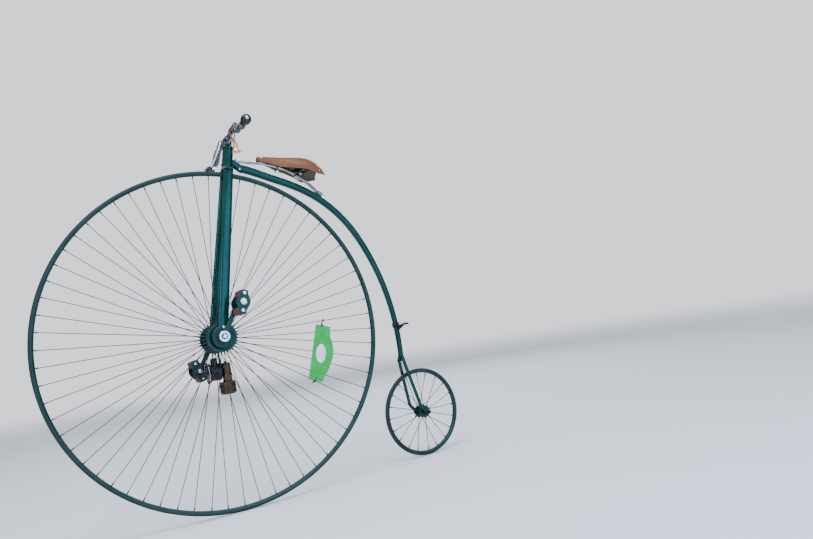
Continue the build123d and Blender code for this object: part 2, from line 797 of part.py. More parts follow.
# Cranks, their nuts and pins, and the pedals that turn on the pins
crank_ends = {}
for name, side in sides.items():
    angle = math.radians(crank_angle if side < 0 else crank_angle + half_turn)
    reach = Vector(math.sin(angle), 0, math.cos(angle))
    crank_ends[name] = reach * crank_length
    outward = Plane(origin=(0, side * crank_inner, 0), x_dir=reach, z_dir=(0, side, 0))
    with BuildPart() as crank:
        with BuildSketch(outward):
            Circle(crank_arm_root)
            with Locations((crank_length, 0)):
                Circle(crank_arm_tip)
            make_hull()
            Circle(crank_boss)
            Circle(axle_radius + seat, mode=Mode.SUBTRACT)
            with Locations((crank_length, 0)):
                Circle(crank_end)
                Circle(spindle_radius + seat, mode=Mode.SUBTRACT)
        extrude(amount=crank_thick)
    save(crank.part, f"crank_{name}", turned=True)

    with BuildPart() as crank_nut_piece:
        with BuildSketch(outward.offset(crank_thick + seat)):
            Circle(crank_nut)
            Circle(axle_radius + seat, mode=Mode.SUBTRACT)
        extrude(amount=crank_nut_thick)
        chamfer(crank_nut_piece.edges().group_by(Axis.Y)[-1 if side > 0 else 0], nut_chamfer)
    save(crank_nut_piece.part, f"crank_nut_{name}", turned=True)

    pedal_inner = crank_thick + passing
    pedal_outer = pedal_inner + pedal_width
    with BuildPart() as pin:
        with BuildSketch(outward):
            with Locations((crank_length, 0)):
                Circle(spindle_radius)
        extrude(amount=pedal_outer + running + pedal_nut_thick)
        with BuildSketch(outward.offset(crank_thick + seat)):
            with Locations((crank_length, 0)):
                Circle(pedal_tube)
        extrude(amount=passing - seat - running)
        with BuildSketch(outward.offset(pedal_outer + running)):
            with Locations((crank_length, 0)):
                Circle(pedal_nut)
        extrude(amount=pedal_nut_thick)
    save(pin.part, f"pedal_pin_{name}", turned=True)

    tilt = math.radians(pedal_tilts[name])
    upright = Vector(math.sin(tilt), 0, math.cos(tilt))
    pedal_root = crank_ends[name] + Vector(0, side * crank_inner, 0)
    pedal_frame = Plane(origin=pedal_root, x_dir=upright, z_dir=(0, side, 0))
    bolt_places = [(pedal_bolts, 0), (-pedal_bolts, 0)]
    with BuildPart() as cage:
        for height in (pedal_inner, pedal_outer - pedal_plate):
            with BuildSketch(pedal_frame.offset(height)):
                Circle(pedal_waist)
                with Locations(*bolt_places):
                    Circle(pedal_tip)
                make_hull()
            extrude(amount=pedal_plate)
        with BuildSketch(pedal_frame.offset(pedal_inner)):
            Circle(pedal_tube)
        extrude(amount=pedal_width)
        with BuildSketch(pedal_frame.offset(pedal_inner)):
            with Locations(*bolt_places):
                Circle(bolt_head / 2)
        extrude(amount=pedal_width)
        with BuildSketch(pedal_frame.offset(pedal_outer)):
            with Locations(*bolt_places):
                Circle(bolt_head)
        extrude(amount=pedal_nut_thick / 2)
        with BuildSketch(pedal_frame.offset(pedal_inner)):
            Circle(spindle_radius + running)
        extrude(amount=pedal_width, mode=Mode.SUBTRACT)
    save(cage.part, f"pedal_{name}", turned=True)

    with BuildPart() as rubbers:
        with BuildSketch(pedal_frame.offset(pedal_inner + pedal_plate + seat)):
            with Locations(*bolt_places):
                RectangleRounded(rubber_tall, rubber_deep, rubber_round)
                Circle(bolt_head / 2 + seat, mode=Mode.SUBTRACT)
        extrude(amount=pedal_width - 2 * pedal_plate - 2 * seat)
    save(rubbers.part, f"pedal_rubbers_{name}", turned=True)

# Lamp that hangs inside the wheel from a collar on the hub barrel
collar_inner = barrel_radius + running
collar_outer = collar_inner + collar_wall
lamp_face = -lamp_forward - bezel_thick / 2
lamp_front = Plane(origin=(lamp_face, 0, -lamp_drop), x_dir=(0, 1, 0), z_dir=(1, 0, 0))
hanger_back = lamp_face + bezel_thick + lamp_depth + seat
hanger_foot = lamp_drop + lamp_radius / 2
with BuildPart() as lamp_hanger:
    with BuildSketch(across(-collar_width / 2)):
        Circle(collar_outer)
    extrude(amount=collar_width)
    with BuildSketch(Plane(origin=(hanger_back, 0, 0), x_dir=(0, 1, 0), z_dir=(1, 0, 0))):
        with Locations((0, -(collar_inner + hanger_foot) / 2)):
            RectangleRounded(hanger_width, hanger_foot - collar_inner, hanger_thick)
    extrude(amount=hanger_thick)
    with BuildSketch(across(-collar_width / 2)):
        Circle(collar_inner)
    extrude(amount=collar_width, mode=Mode.SUBTRACT)
save(lamp_hanger.part, "lamp_hanger", turned=True)

with BuildPart() as bezel:
    with BuildSketch(lamp_front):
        Circle(bezel_radius)
    with BuildSketch(lamp_front.offset(bezel_thick)):
        Circle(lamp_radius + bezel_wall / 2)
    loft()
    with BuildSketch(lamp_front):
        Circle(bezel_radius - bezel_wall)
    extrude(amount=bezel_thick / 2, mode=Mode.SUBTRACT)
    with BuildSketch(lamp_front.offset(bezel_thick / 2)):
        Circle(lamp_radius - bezel_wall)
    extrude(amount=bezel_thick / 2, mode=Mode.SUBTRACT)
save(bezel.part, "lamp_bezel", turned=True)

with BuildPart() as lens:
    with BuildSketch(lamp_front.offset(bezel_thick / 2 - lens_thick)):
        Circle(bezel_radius - bezel_wall - seat)
    extrude(amount=lens_thick - seat)
save(lens.part, "lamp_glass", turned=True)

with BuildPart() as lamp_body:
    rib_pitch = lamp_depth / lamp_ribs
    with BuildSketch(lamp_front.offset(bezel_thick + seat)):
        Circle(lamp_radius - rib_proud)
    extrude(amount=lamp_depth - seat)
    for rib in range(lamp_ribs):
        with BuildSketch(lamp_front.offset(bezel_thick + seat + rib * rib_pitch)):
            Circle(lamp_radius)
        extrude(amount=rib_pitch / 2)
    with BuildSketch(Plane(origin=(lamp_face + bezel_thick + lamp_depth / 2, 0, -lamp_drop))):
        Circle(chimney_radius)
    extrude(amount=lamp_radius + chimney_height)
    with BuildSketch(lamp_front.offset(bezel_thick + seat)):
        Circle(lamp_radius - rib_proud - lamp_wall)
    extrude(amount=lamp_depth - lamp_wall, mode=Mode.SUBTRACT)
save(lamp_body.part, "lamp_body", turned=True)

generator_centre = hanger_back + hanger_thick + generator_radius + seat
with BuildPart() as generator:
    with BuildSketch(Plane(origin=(generator_centre, 0, -tank_top))):
        Circle(generator_radius)
    extrude(amount=tank_top - generator_top)
    with BuildSketch(Plane(origin=(generator_centre - tank_forward, 0, -tank_bottom))):
        Circle(tank_radius)
    extrude(amount=tank_bottom - tank_top)
    fillet(generator.faces().sort_by(Axis.Z)[0].edges(), tank_round)
save(generator.part, "lamp_generator", turned=True)

# Blank plate on the left spokes
cone_slope = (flange_half - spoke_offset) / (front_radius - tyre_radius - rim_outer - flange_radius)
plate_out = flange_half - (plate_radius - flange_radius) * cone_slope + spoke_radius + seat
plate_way = Vector(math.sin(math.radians(plate_angle)), 0, math.cos(math.radians(plate_angle)))
plate_facing = (Vector(0, -1, 0) + plate_way * cone_slope).normalized()
plate_middle = plate_way * plate_radius + Vector(0, -plate_out, 0)
plate_frame = Plane(origin=plate_middle, x_dir=plate_way, z_dir=plate_facing)
with BuildPart() as number_plate:
    with BuildSketch(plate_frame):
        with BuildLine():
            half = plate_height / 2
            Polyline(
                (plate_width / 2, half),
                (-plate_width / 2, half),
                (-plate_width / 2, -half),
                (plate_width / 2, -half),
            )
            outer = plate_width / 2
            ThreePointArc((outer, -half), (outer + plate_arch, 0), (outer, half))
        make_face()
    extrude(amount=plate_thick)
save(number_plate.part, "number_plate", turned=True)

# Backbone
spine_run = sum(length for radius, length in spine_arcs)


def spine_radius(distance):
    return spine_top_radius + (spine_end_radius - spine_top_radius) * distance / spine_run


with BuildPart() as backbone:
    for section in range(spine_sections):
        distance = spine_run * section / (spine_sections - 1)
        with BuildSketch(spine_plane(distance)):
            Circle(spine_radius(distance))
    loft()
save(backbone.part, "backbone")

# Rear fork: crown, blades that bend back to the axle, and the axle with its cones and nuts
spine_end = spine_plane(spine_run)
crown_foot = spine_end.offset(rear_crown_height)
with BuildPart() as rear_crown:
    with BuildSketch(spine_end):
        Circle(spine_end_radius)
    with BuildSketch(crown_foot):
        SlotOverall(2 * rear_crown_half, rear_crown_deep)
    loft()
save(rear_crown.part, "rear_fork_crown")

for name, side in sides.items():
    blade_top = crown_foot.from_local_coords((side * rear_blade_top_half, 0, 0))
    blade_end = rear_hub + Vector(0, side * rear_fork_half, 0)
    blade_bend = blade_end + Vector(-rear_bend_forward, 0, rear_bend_up)
    into_eye = (blade_end - blade_bend).normalized() * (axle_nut_radius + running)
    with BuildPart() as rear_blade:
        with BuildLine() as rear_path:
            FilletPolyline(blade_top, blade_bend, blade_end - into_eye, radius=rear_bend_radius)
        with BuildSketch(Plane(origin=blade_top, z_dir=rear_path.line % 0)):
            Circle(rear_blade_radius)
        sweep()
        split(bisect_by=crown_foot, keep=Keep.TOP)
        with BuildSketch(across(side * rear_fork_half - dropout_thick / 2, rear_hub.X, rear_hub.Z)):
            Circle(dropout_radius)
        extrude(amount=dropout_thick)
        with BuildSketch(across(-rear_axle_half, rear_hub.X, rear_hub.Z)):
            Circle(rear_axle_radius + seat)
        extrude(amount=2 * rear_axle_half, mode=Mode.SUBTRACT)
    save(rear_blade.part, f"rear_fork_{name}")

with BuildPart() as rear_axle:
    with BuildSketch(across(-rear_axle_half, rear_hub.X, rear_hub.Z)):
        Circle(rear_axle_radius)
    extrude(amount=2 * rear_axle_half)
    cone_outer = rear_fork_half - dropout_thick / 2 - seat
    nut_inner = rear_fork_half + dropout_thick / 2 + seat
    for side in sides.values():
        for start, end, ring in (
            (rear_hub_half + 2 * running, cone_outer, cone_radius),
            (nut_inner, nut_inner + axle_nut_thick, axle_nut_radius),
        ):
            with BuildSketch(across(min(side * start, side * end), rear_hub.X, rear_hub.Z)):
                Circle(ring)
            extrude(amount=end - start)
save(rear_axle.part, "rear_axle")

# Mounting step on the left of the backbone
step_distance = spine_run - step_above_foot
step_place = spine_plane(step_distance)
band_inner = spine_radius(step_distance) + running
with BuildPart() as step:
    with BuildSketch(step_place.offset(-band_width / 2)):
        Circle(band_inner + band_wall)
    extrude(amount=band_width)
    step_start = band_inner + band_wall / 2
    step_frame = Plane(origin=step_place.origin + Vector(0, -step_start, 0), x_dir=(1, 0, 0), z_dir=(0, 0, 1))
    with BuildSketch(step_frame):
        with Locations((0, -step_length / 2)):
            Rectangle(step_deep, step_length)
    extrude(amount=-step_thick)
    with BuildSketch(step_frame):
        with Locations((0, -step_length + step_thick / 2)):
            Rectangle(step_deep, step_thick)
    extrude(amount=step_lip - step_thick)
    rib_corner = step_frame.origin - Vector(step_thick / 2, 0, step_thick)
    rib_frame = Plane(origin=rib_corner, x_dir=(0, -1, 0), z_dir=(1, 0, 0))
    with BuildSketch(rib_frame):
        with BuildLine():
            Polyline((0, 0), (step_rib_length, 0), (0, rib_frame.y_dir.Z * -step_rib), close=True)
        make_face()
    extrude(amount=step_thick)
    with BuildSketch(step_place.offset(-band_width)):
        Circle(band_inner)
    extrude(amount=2 * band_width, mode=Mode.SUBTRACT)
save(step.part, "mounting_step")

# Leaf spring with its front bolt and the clip that holds its tail on the backbone
spring_run = sum(length for radius, length in spring_arcs)


def spring_offset(distance, lift):
    """Point above the spring's centre line."""
    place = spring_plane(distance)
    return place.origin + Vector(-place.z_dir.Z, 0, place.z_dir.X) * lift


tail_place = spring_plane(spring_run - clip_length / 2)


def spring_under(back):
    """Plane across the spring at a distance back from the hub."""
    distances = (distance for distance in range(int(spring_run)) if spring_plane(distance).origin.X > back)
    return spring_plane(next(distances))


clamp_place = spring_under(saddle_clamp_back)
stay_place = spring_under(stay_back)


with BuildPart() as leaf_spring:
    with BuildSketch(Plane(origin=(0, -spring_width / 2, 0), x_dir=(1, 0, 0), z_dir=(0, -1, 0))):
        with BuildLine():
            for lift in (spring_thick / 2, -spring_thick / 2):
                reached = 0.0
                for radius, length in spring_arcs:
                    ends = [spring_offset(reached + length * share, lift) for share in (0, 0.5, 1)]
                    ThreePointArc(*[(end.X, end.Z) for end in ends])
                    reached += length
            for distance in (0, spring_run):
                faces = [spring_offset(distance, lift) for lift in (spring_thick / 2, -spring_thick / 2)]
                Line(*[(face.X, face.Z) for face in faces])
        make_face()
    extrude(amount=-spring_width)
    for place, radius in ((bolt_place, spring_bolt_radius), (stay_place, stay_radius)):
        with BuildSketch(upright_plane(place).offset(-spring_thick)):
            Circle(radius + seat)
        extrude(amount=2 * spring_thick, mode=Mode.SUBTRACT)
save(leaf_spring.part, "leaf_spring")

with BuildPart() as spring_bolt:
    with BuildSketch(bolt_frame.offset(-spring_thick / 2 - seat)):
        Circle(perch_radius)
    extrude(amount=-perch_tall)
    with BuildSketch(bolt_frame.offset(-spring_thick / 2 - seat)):
        Circle(spring_bolt_radius)
    extrude(amount=spring_thick + 2 * seat)
    with BuildSketch(bolt_frame.offset(spring_thick / 2 + seat)):
        Circle(spring_bolt_head)
    extrude(amount=spring_bolt_tall)
save(spring_bolt.part, "spring_bolt")

with BuildPart() as spring_clip:
    clip_outer = (spring_width / 2 + seat + clip_wall) * 2
    with BuildSketch(tail_place.offset(-clip_length / 2)):
        Rectangle(clip_outer, spring_thick + 2 * seat + 2 * clip_wall)
    extrude(amount=clip_length)
    clip_frame = upright_plane(tail_place)
    with BuildSketch(clip_frame.offset(-spring_thick / 2 - seat)):
        Rectangle(clip_foot_width, clip_length)
    extrude(amount=-clip_foot_tall)
    add(backbone.part, mode=Mode.SUBTRACT)
    with BuildSketch(tail_place.offset(-clip_length)):
        Rectangle(spring_width + 2 * seat, spring_thick + 2 * spring_slot)
    extrude(amount=2 * clip_length, mode=Mode.SUBTRACT)
save(spring_clip.part, "spring_clip")


def make_rails(radius):
    """Both saddle rails at a radius."""
    with BuildPart() as rails:
        for side in sides.values():
            points = [Vector(back, side * half, up) for back, half, up in rail_points]
            with BuildLine():
                FilletPolyline(*points, radius=rail_bend)
            with BuildSketch(Plane(origin=points[0], z_dir=points[1] - points[0])):
                Circle(radius)
            sweep()
    return rails.part


def leather_row(distance):
    """Half width, top and drop of the leather at a distance from the nose."""
    for start, end in zip(leather_sections, leather_sections[1:]):
        if distance <= end[0]:
            share = (distance - start[0]) / (end[0] - start[0])
            return [before + (after - before) * share for before, after in zip(start[1:], end[1:])]


def arch(distance, outer, inner):
    """Elliptical arch across the saddle, between two depths under its outer skin."""
    half_width, top, drop = leather_row(distance)
    edge = saddle_up + top - drop
    wide, tall = half_width - outer, drop - outer
    narrow, low = half_width - inner, drop - inner
    arch_plane = Plane(origin=(saddle_nose_back + distance, 0, edge), x_dir=(0, 1, 0), z_dir=(1, 0, 0))
    with BuildSketch(arch_plane) as section:
        with BuildLine():
            EllipticalCenterArc((0, 0), wide, tall, start_angle=0, arc_size=half_turn)
            Line((-wide, 0), (-narrow, 0))
            EllipticalCenterArc((0, 0), narrow, low, start_angle=0, arc_size=half_turn)
            Line((narrow, 0), (wide, 0))
        make_face()
    return section.sketch.faces()[0]


with BuildPart() as saddle_leather:
    loft(sections=[arch(row[0], 0, leather_thick) for row in leather_sections])
save(saddle_leather.part, "saddle_leather")

under = leather_thick + leather_gap
with BuildPart() as saddle_frame:
    add(make_rails(rail_radius))
    loft(sections=[arch(distance, under, under + cantle_thick) for distance in cantle_place])
    for place, level in ((nose_plate, rail_points[0][2]), (cantle_place, rail_points[-1][2])):
        middle = (place[0] + place[1]) / 2
        half_width, top, drop = leather_row(middle)
        sunk = level - (saddle_up + top - drop)
        chord = (half_width - under - cantle_thick / 2) * math.sqrt(1 - (sunk / (drop - under)) ** 2)
        plate_corner = (saddle_nose_back + middle, 0, level - cantle_thick / 2)
        with BuildSketch(Plane(origin=plate_corner, x_dir=(0, 1, 0))):
            Rectangle(2 * chord, place[1] - place[0])
        extrude(amount=cantle_thick)
save(saddle_frame.part, "saddle_frame")

with BuildPart() as saddle_clamp:
    clamp_box = (spring_width / 2 + seat + saddle_clamp_wall) * 2
    with BuildSketch(clamp_place.offset(-saddle_clamp_length / 2)):
        Rectangle(clamp_box, spring_thick + 2 * seat + 2 * saddle_clamp_wall)
    extrude(amount=saddle_clamp_length)
    post = upright_plane(clamp_place)
    bridge_up = rail_points[2][2] - clamp_bridge_drop
    post_foot = spring_thick / 2 + seat + saddle_clamp_wall / 2
    with BuildSketch(post.offset(post_foot)):
        Rectangle(clamp_post_width, clamp_post_long)
    extrude(amount=(bridge_up - clamp_place.origin.Z) / post.z_dir.Z - post_foot)
    with BuildSketch(Plane(origin=(saddle_clamp_back + clamp_bridge_behind, 0, bridge_up), x_dir=(0, 1, 0))):
        Rectangle(2 * (rail_points[2][1] + 3 * rail_radius), clamp_bridge_long)
    extrude(amount=clamp_bridge_tall / 2, both=True)
    with BuildSketch(clamp_place.offset(-saddle_clamp_length)):
        Rectangle(spring_width + 2 * seat, spring_thick + 2 * spring_slot)
    extrude(amount=2 * saddle_clamp_length, mode=Mode.SUBTRACT)
    add(make_rails(rail_radius + seat), mode=Mode.SUBTRACT)
save(saddle_clamp.part, "saddle_clamp")

with BuildPart() as saddle_stay:
    stay_frame = upright_plane(stay_place)
    with BuildSketch(stay_frame.offset(-stay_drop)):
        Circle(stay_radius)
    extrude(amount=stay_drop + stay_tall)
    with BuildSketch(stay_frame.offset(-stay_drop)):
        Circle(stay_nut)
    extrude(amount=stay_nut)
    stay_bar_back = stay_frame.from_local_coords((0, 0, stay_bar_up)).X
    with BuildSketch(Plane(origin=(stay_bar_back, 0, rail_points[1][2]), x_dir=(0, 1, 0))):
        Rectangle(2 * (rail_points[1][1] + 2 * rail_radius), stay_bar_long)
    extrude(amount=stay_bar_tall / 2, both=True)
    add(make_rails(rail_radius + seat), mode=Mode.SUBTRACT)
save(saddle_stay.part, "saddle_stay")
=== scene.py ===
"""Penny farthing bicycle: the finish of every surface, and the fine pieces on the frame. Metres."""

import json
import math

import bmesh
import bpy
from mathutils import Matrix, Vector


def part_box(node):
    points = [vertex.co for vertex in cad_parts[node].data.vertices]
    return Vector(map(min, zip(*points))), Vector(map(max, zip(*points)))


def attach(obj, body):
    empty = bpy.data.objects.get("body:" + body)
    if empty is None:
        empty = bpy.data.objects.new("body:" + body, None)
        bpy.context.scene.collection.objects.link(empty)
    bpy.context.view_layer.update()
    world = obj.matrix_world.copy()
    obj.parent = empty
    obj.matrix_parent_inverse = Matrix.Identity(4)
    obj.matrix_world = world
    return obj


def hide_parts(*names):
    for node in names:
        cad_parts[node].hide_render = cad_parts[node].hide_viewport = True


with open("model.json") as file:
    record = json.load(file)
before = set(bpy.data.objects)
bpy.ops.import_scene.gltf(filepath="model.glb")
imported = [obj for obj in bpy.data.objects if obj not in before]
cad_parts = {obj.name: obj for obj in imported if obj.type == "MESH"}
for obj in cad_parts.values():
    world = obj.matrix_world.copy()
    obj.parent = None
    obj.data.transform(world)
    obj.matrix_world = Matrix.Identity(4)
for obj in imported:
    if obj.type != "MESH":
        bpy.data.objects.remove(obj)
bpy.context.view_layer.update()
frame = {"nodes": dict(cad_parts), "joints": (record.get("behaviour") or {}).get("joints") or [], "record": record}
nodes = frame["nodes"]
joints = {joint["name"]: joint for joint in frame["joints"]}

# Where the bicycle's centres and axes are
FRONT_HUB = Vector(joints["front_wheel_spin"]["pos_m"])
REAR_HUB = Vector(joints["rear_wheel_spin"]["pos_m"])
STEER_AXIS = Vector(joints["steering"]["axis"])
STEER_REST = -math.radians(sum(joints["steering"]["range_deg"]) / 2)
FRONT_RADIUS = 0.710
REAR_RADIUS = 0.206
RIGHT = Vector((0, 1, 0))
SIDES = {"left": -1, "right": 1}

# Pieces are laid out about their hub; the steered ones with the wheel straight, then turned to rest
HERE = Matrix.Identity(4)
FRAME = Matrix.Translation(FRONT_HUB)
REAR = Matrix.Translation(REAR_HUB)
STEERED = FRAME @ Matrix.Rotation(STEER_REST, 4, STEER_AXIS)


class Signal:
    """A value that a finish works out over a surface, so that shader maths reads as Python."""

    def __init__(self, finish, socket):
        self.finish = finish
        self.socket = socket

    def maths(self, operation, first, second):
        return self.finish.node("ShaderNodeMath", {"operation": operation}, {0: first, 1: second})

    def __add__(self, other):
        return self.maths("ADD", self, other)

    def __mul__(self, other):
        return self.maths("MULTIPLY", self, other)

    def __rsub__(self, other):
        return self.maths("SUBTRACT", other, self)

    def __lt__(self, other):
        return self.maths("LESS_THAN", self, other)

    def __gt__(self, other):
        return self.maths("GREATER_THAN", self, other)

    __radd__ = __add__
    __rmul__ = __mul__

    def between(self, low, high):
        """0 below low, 1 above high and smooth in between."""
        settings = {"interpolation_type": "SMOOTHSTEP"}
        values = {"Value": self, "From Min": low, "From Max": high}
        return self.finish.node("ShaderNodeMapRange", settings, values)


class Finish:
    """The nodes of a material, or of the light from all round, under construction."""

    def __init__(self, owner, shader="Principled BSDF", place="Object"):
        owner.use_nodes = True
        self.owner = owner
        self.tree = owner.node_tree
        self.shader = self.tree.nodes[shader]
        self.place = self.node("ShaderNodeTexCoord", {}, {}, place)

    def feed(self, socket, value):
        if isinstance(value, Signal):
            self.tree.links.new(value.socket, socket)
        else:
            socket.default_value = value

    def node(self, kind, settings, values, output=None):
        """Add a node: its settings first, then the values or links of its sockets."""
        node = self.tree.nodes.new(kind)
        for key, setting in settings.items():
            if key == "stops":
                stops = node.color_ramp.elements
                for index, (position, colour) in enumerate(setting):
                    stop = stops[index] if index < len(stops) else stops.new(position)
                    stop.position, stop.color = position, colour
            else:
                setattr(node, key, setting)
        for key, value in values.items():
            named = [socket for socket in node.inputs if socket.enabled and socket.name == key]
            self.feed(node.inputs[key] if isinstance(key, int) else named[0], value)
        shown = [socket for socket in node.outputs if socket.enabled]
        found = [socket for socket in shown if socket.name == output] or shown
        return Signal(self, found[0])

    def noise(self, scale, detail=3.0, rough=0.5, place=None):
        values = {"Vector": place or self.place, "Scale": scale, "Detail": detail, "Roughness": rough}
        return self.node("ShaderNodeTexNoise", {}, values)

    def cells(self, scale):
        """Distance to the nearest of many scattered points."""
        return self.node("ShaderNodeTexVoronoi", {}, {"Vector": self.place, "Scale": scale}, "Distance")

    def stretched(self, x, y, z):
        """The place on the piece with each direction stretched."""
        return self.node("ShaderNodeVectorMath", {"operation": "MULTIPLY"}, {0: self.place, 1: (x, y, z)})

    def axis(self, name, place=None):
        return self.node("ShaderNodeSeparateXYZ", {}, {"Vector": place or self.place}, name)

    def mix(self, share, first, second):
        """One colour where share is 0 and the other where it is 1."""
        return self.node("ShaderNodeMix", {"data_type": "RGBA"}, {"Factor": share, "A": first, "B": second})

    def bump(self, height, depth, strength):
        values = {"Height": height, "Distance": depth, "Strength": strength}
        return self.node("ShaderNodeBump", {}, values, "Normal")

    def wear(self, **values):
        """Set or link the shader's own sockets."""
        for name, value in values.items():
            self.feed(self.shader.inputs[name.replace("_", " ")], value)

    def give_way(self, share, other):
        """Show another shader where share is 1."""
        own = Signal(self, self.shader.outputs[0])
        both = self.node("ShaderNodeMixShader", {}, {"Fac": share, 1: own, 2: other})
        self.tree.links.new(both.socket, self.tree.get_output_node("ALL").inputs["Surface"])


# The finishes, by the names of the functions below that describe them
MATERIALS = {}


def material(describe):
    """Build the material that a function describes, under the function's name."""
    finish = Finish(bpy.data.materials.new(describe.__name__))
    describe(finish)
    MATERIALS[describe.__name__] = finish.owner
    return describe


def tint(red, green, blue):
    """Opaque colour."""
    return (red, green, blue, 1.0)


@material
def green_enamel(finish):
    """Stoved dark teal enamel: slight ripple, duller patches and a few small chips."""
    drift = finish.noise(6.0, 4.0)
    ripple = finish.noise(160.0, 2.0)
    specks = finish.cells(420.0) < 0.055
    worn = specks * (finish.noise(9.0, 2.0) > 0.60)
    paint = finish.mix(drift.between(0.35, 0.7), tint(0.0010, 0.022, 0.014), tint(0.0018, 0.036, 0.022))
    colour = finish.mix(worn, paint, tint(0.16, 0.16, 0.15))
    rough = 0.15 + 0.12 * finish.noise(22.0, 4.0).between(0.4, 0.75)
    finish.wear(
        Base_Color=colour,
        Roughness=rough,
        IOR=1.52,
        # Painted reflection: reflections are tinted cyan to stand for a blue sky's sheen on the paint.
        Specular_Tint=tint(0.38, 0.84, 0.88),
        Normal=finish.bump(ripple, 0.0002, 0.25),
    )


@material
def dusty_enamel(finish):
    """The same enamel on the wheels, cranks and pedals, dulled all over by road dust."""
    dust = finish.noise(13.0, 5.0).between(0.35, 0.72)
    colour = finish.mix(dust, tint(0.0012, 0.018, 0.014), tint(0.010, 0.032, 0.027))
    finish.wear(
        # Painted reflection: a fainter cyan tint on the reflections stands for a blue sky's sheen.
        Base_Color=colour, Roughness=0.28 + 0.24 * dust, IOR=1.42, Specular_Tint=tint(0.62, 0.92, 0.90)
    )


@material
def spoke_steel(finish):
    """Dull grey wire, darker where old oil has dried on it."""
    stain = finish.noise(18.0, 4.0).between(0.35, 0.7)
    colour = finish.mix(stain, tint(0.007, 0.008, 0.011), tint(0.022, 0.024, 0.031))
    finish.wear(Base_Color=colour, Roughness=0.46 + 0.14 * stain, IOR=1.36)


@material
def step_steel(finish):
    """Blackened forging, rubbed bright on its corners."""
    rubbed = finish.noise(55.0, 4.0).between(0.52, 0.72)
    colour = finish.mix(rubbed, tint(0.018, 0.014, 0.018), tint(0.10, 0.09, 0.09))
    finish.wear(
        Base_Color=colour,
        Roughness=0.5 - 0.2 * rubbed,
        Metallic=0.6,
        Normal=finish.bump(finish.noise(240.0), 0.0004, 0.5),
    )


@material
def bright_nickel(finish):
    """Polished plating with faint wiping marks and a little haze."""
    haze = finish.noise(14.0, 5.0)
    wiping = finish.noise(60.0, 3.0, 0.6, finish.stretched(1.0, 1.0, 6.0))
    colour = finish.mix(haze.between(0.3, 0.75), tint(0.86, 0.84, 0.80), tint(0.68, 0.66, 0.62))
    rough = 0.12 + 0.12 * wiping.between(0.5, 0.8)
    finish.wear(Base_Color=colour, Roughness=rough, Metallic=1.0, Normal=finish.bump(haze, 0.0002, 0.15))


@material
def spring_steel(finish):
    """Bare spring steel, burnished, kept dark with brown patches: partly a film where oil has dried, partly
    painted shade.
    """
    # Painted shade: the steel is darkened overall and browned in patches so its faces read as shaded; the patches
    # also stand for dried oil.
    oil_film_and_painted_shade = finish.noise(24.0, 4.0).between(0.42, 0.72)
    colour = finish.mix(oil_film_and_painted_shade, tint(0.30, 0.29, 0.28), tint(0.15, 0.12, 0.10))
    finish.wear(Base_Color=colour, Roughness=0.16 + 0.16 * oil_film_and_painted_shade, Metallic=1.0)


@material
def bar_plating_painted_reflection(finish):
    """Old plating on the bar and its fittings, gone dark between the bright streaks: the dark is partly tarnish
    and partly painted reflection of dark surroundings.
    """
    # Painted reflection: the plating is darkened overall and in patches to stand for dark surroundings mirrored in
    # it, as well as tarnish.
    tarnish_and_painted_reflection = finish.noise(32.0, 4.0, 0.55).between(0.34, 0.66)
    colour = finish.mix(tarnish_and_painted_reflection, tint(0.27, 0.27, 0.29), tint(0.07, 0.07, 0.085))
    finish.wear(Base_Color=colour, Roughness=0.13 + 0.12 * tarnish_and_painted_reflection, Metallic=1.0)


@material
def tyre_rubber(finish):
    """Old solid rubber, near black with a green cast, dusty on the shoulders."""
    dust = finish.noise(11.0, 5.0).between(0.42, 0.72)
    fine = finish.noise(520.0, 3.0, 0.6)
    colour = finish.mix(dust, tint(0.006, 0.011, 0.010), tint(0.020, 0.029, 0.026))
    finish.wear(
        Base_Color=colour, Roughness=0.48 + 0.2 * dust, IOR=1.40, Normal=finish.bump(fine, 0.0004, 0.35)
    )


@material
def saddle_hide(finish):
    """Tan harness leather: fine pores, soft creases, darker on its upward-facing top and in the creases."""
    pores = finish.cells(1500.0)
    crease = finish.noise(34.0, 5.0, 0.6, finish.stretched(1.0, 2.4, 1.0))
    patch = finish.noise(13.0, 4.0)
    upward = finish.axis("Z", finish.node("ShaderNodeNewGeometry", {}, {}, "Normal"))
    tan = finish.mix(patch.between(0.32, 0.70), tint(0.150, 0.045, 0.011), tint(0.235, 0.080, 0.021))
    # Darker brown where the surface faces up, by the Z of its normal.
    darker_on_top = finish.mix(upward.between(0.55, 0.92) * 0.6, tan, tint(0.085, 0.030, 0.012))
    colour = finish.mix(crease.between(0.58, 0.78) * 0.6, darker_on_top, tint(0.055, 0.020, 0.009))
    height = pores * 0.25 + crease.between(0.35, 0.70)
    finish.wear(
        Base_Color=colour,
        Roughness=0.36 + 0.18 * patch,
        IOR=1.36,
        Normal=finish.bump(height, 0.0006, 0.45),
    )


@material
def hide_edge(finish):
    """Pale cut edge of the leather, burnished with wax."""
    fibre = finish.noise(300.0, 4.0).between(0.35, 0.7)
    colour = finish.mix(fibre, tint(0.40, 0.20, 0.085), tint(0.24, 0.105, 0.042))
    finish.wear(Base_Color=colour, Roughness=0.5, Normal=finish.bump(fibre, 0.0004, 0.4))


@material
def saddle_under(finish):
    """The rough flesh side of the leather."""
    nap = finish.noise(380.0, 4.0, 0.7)
    colour = finish.mix(nap.between(0.3, 0.7), tint(0.115, 0.098, 0.062), tint(0.175, 0.150, 0.096))
    finish.wear(Base_Color=colour, Roughness=0.9, Normal=finish.bump(nap, 0.0004, 0.4))


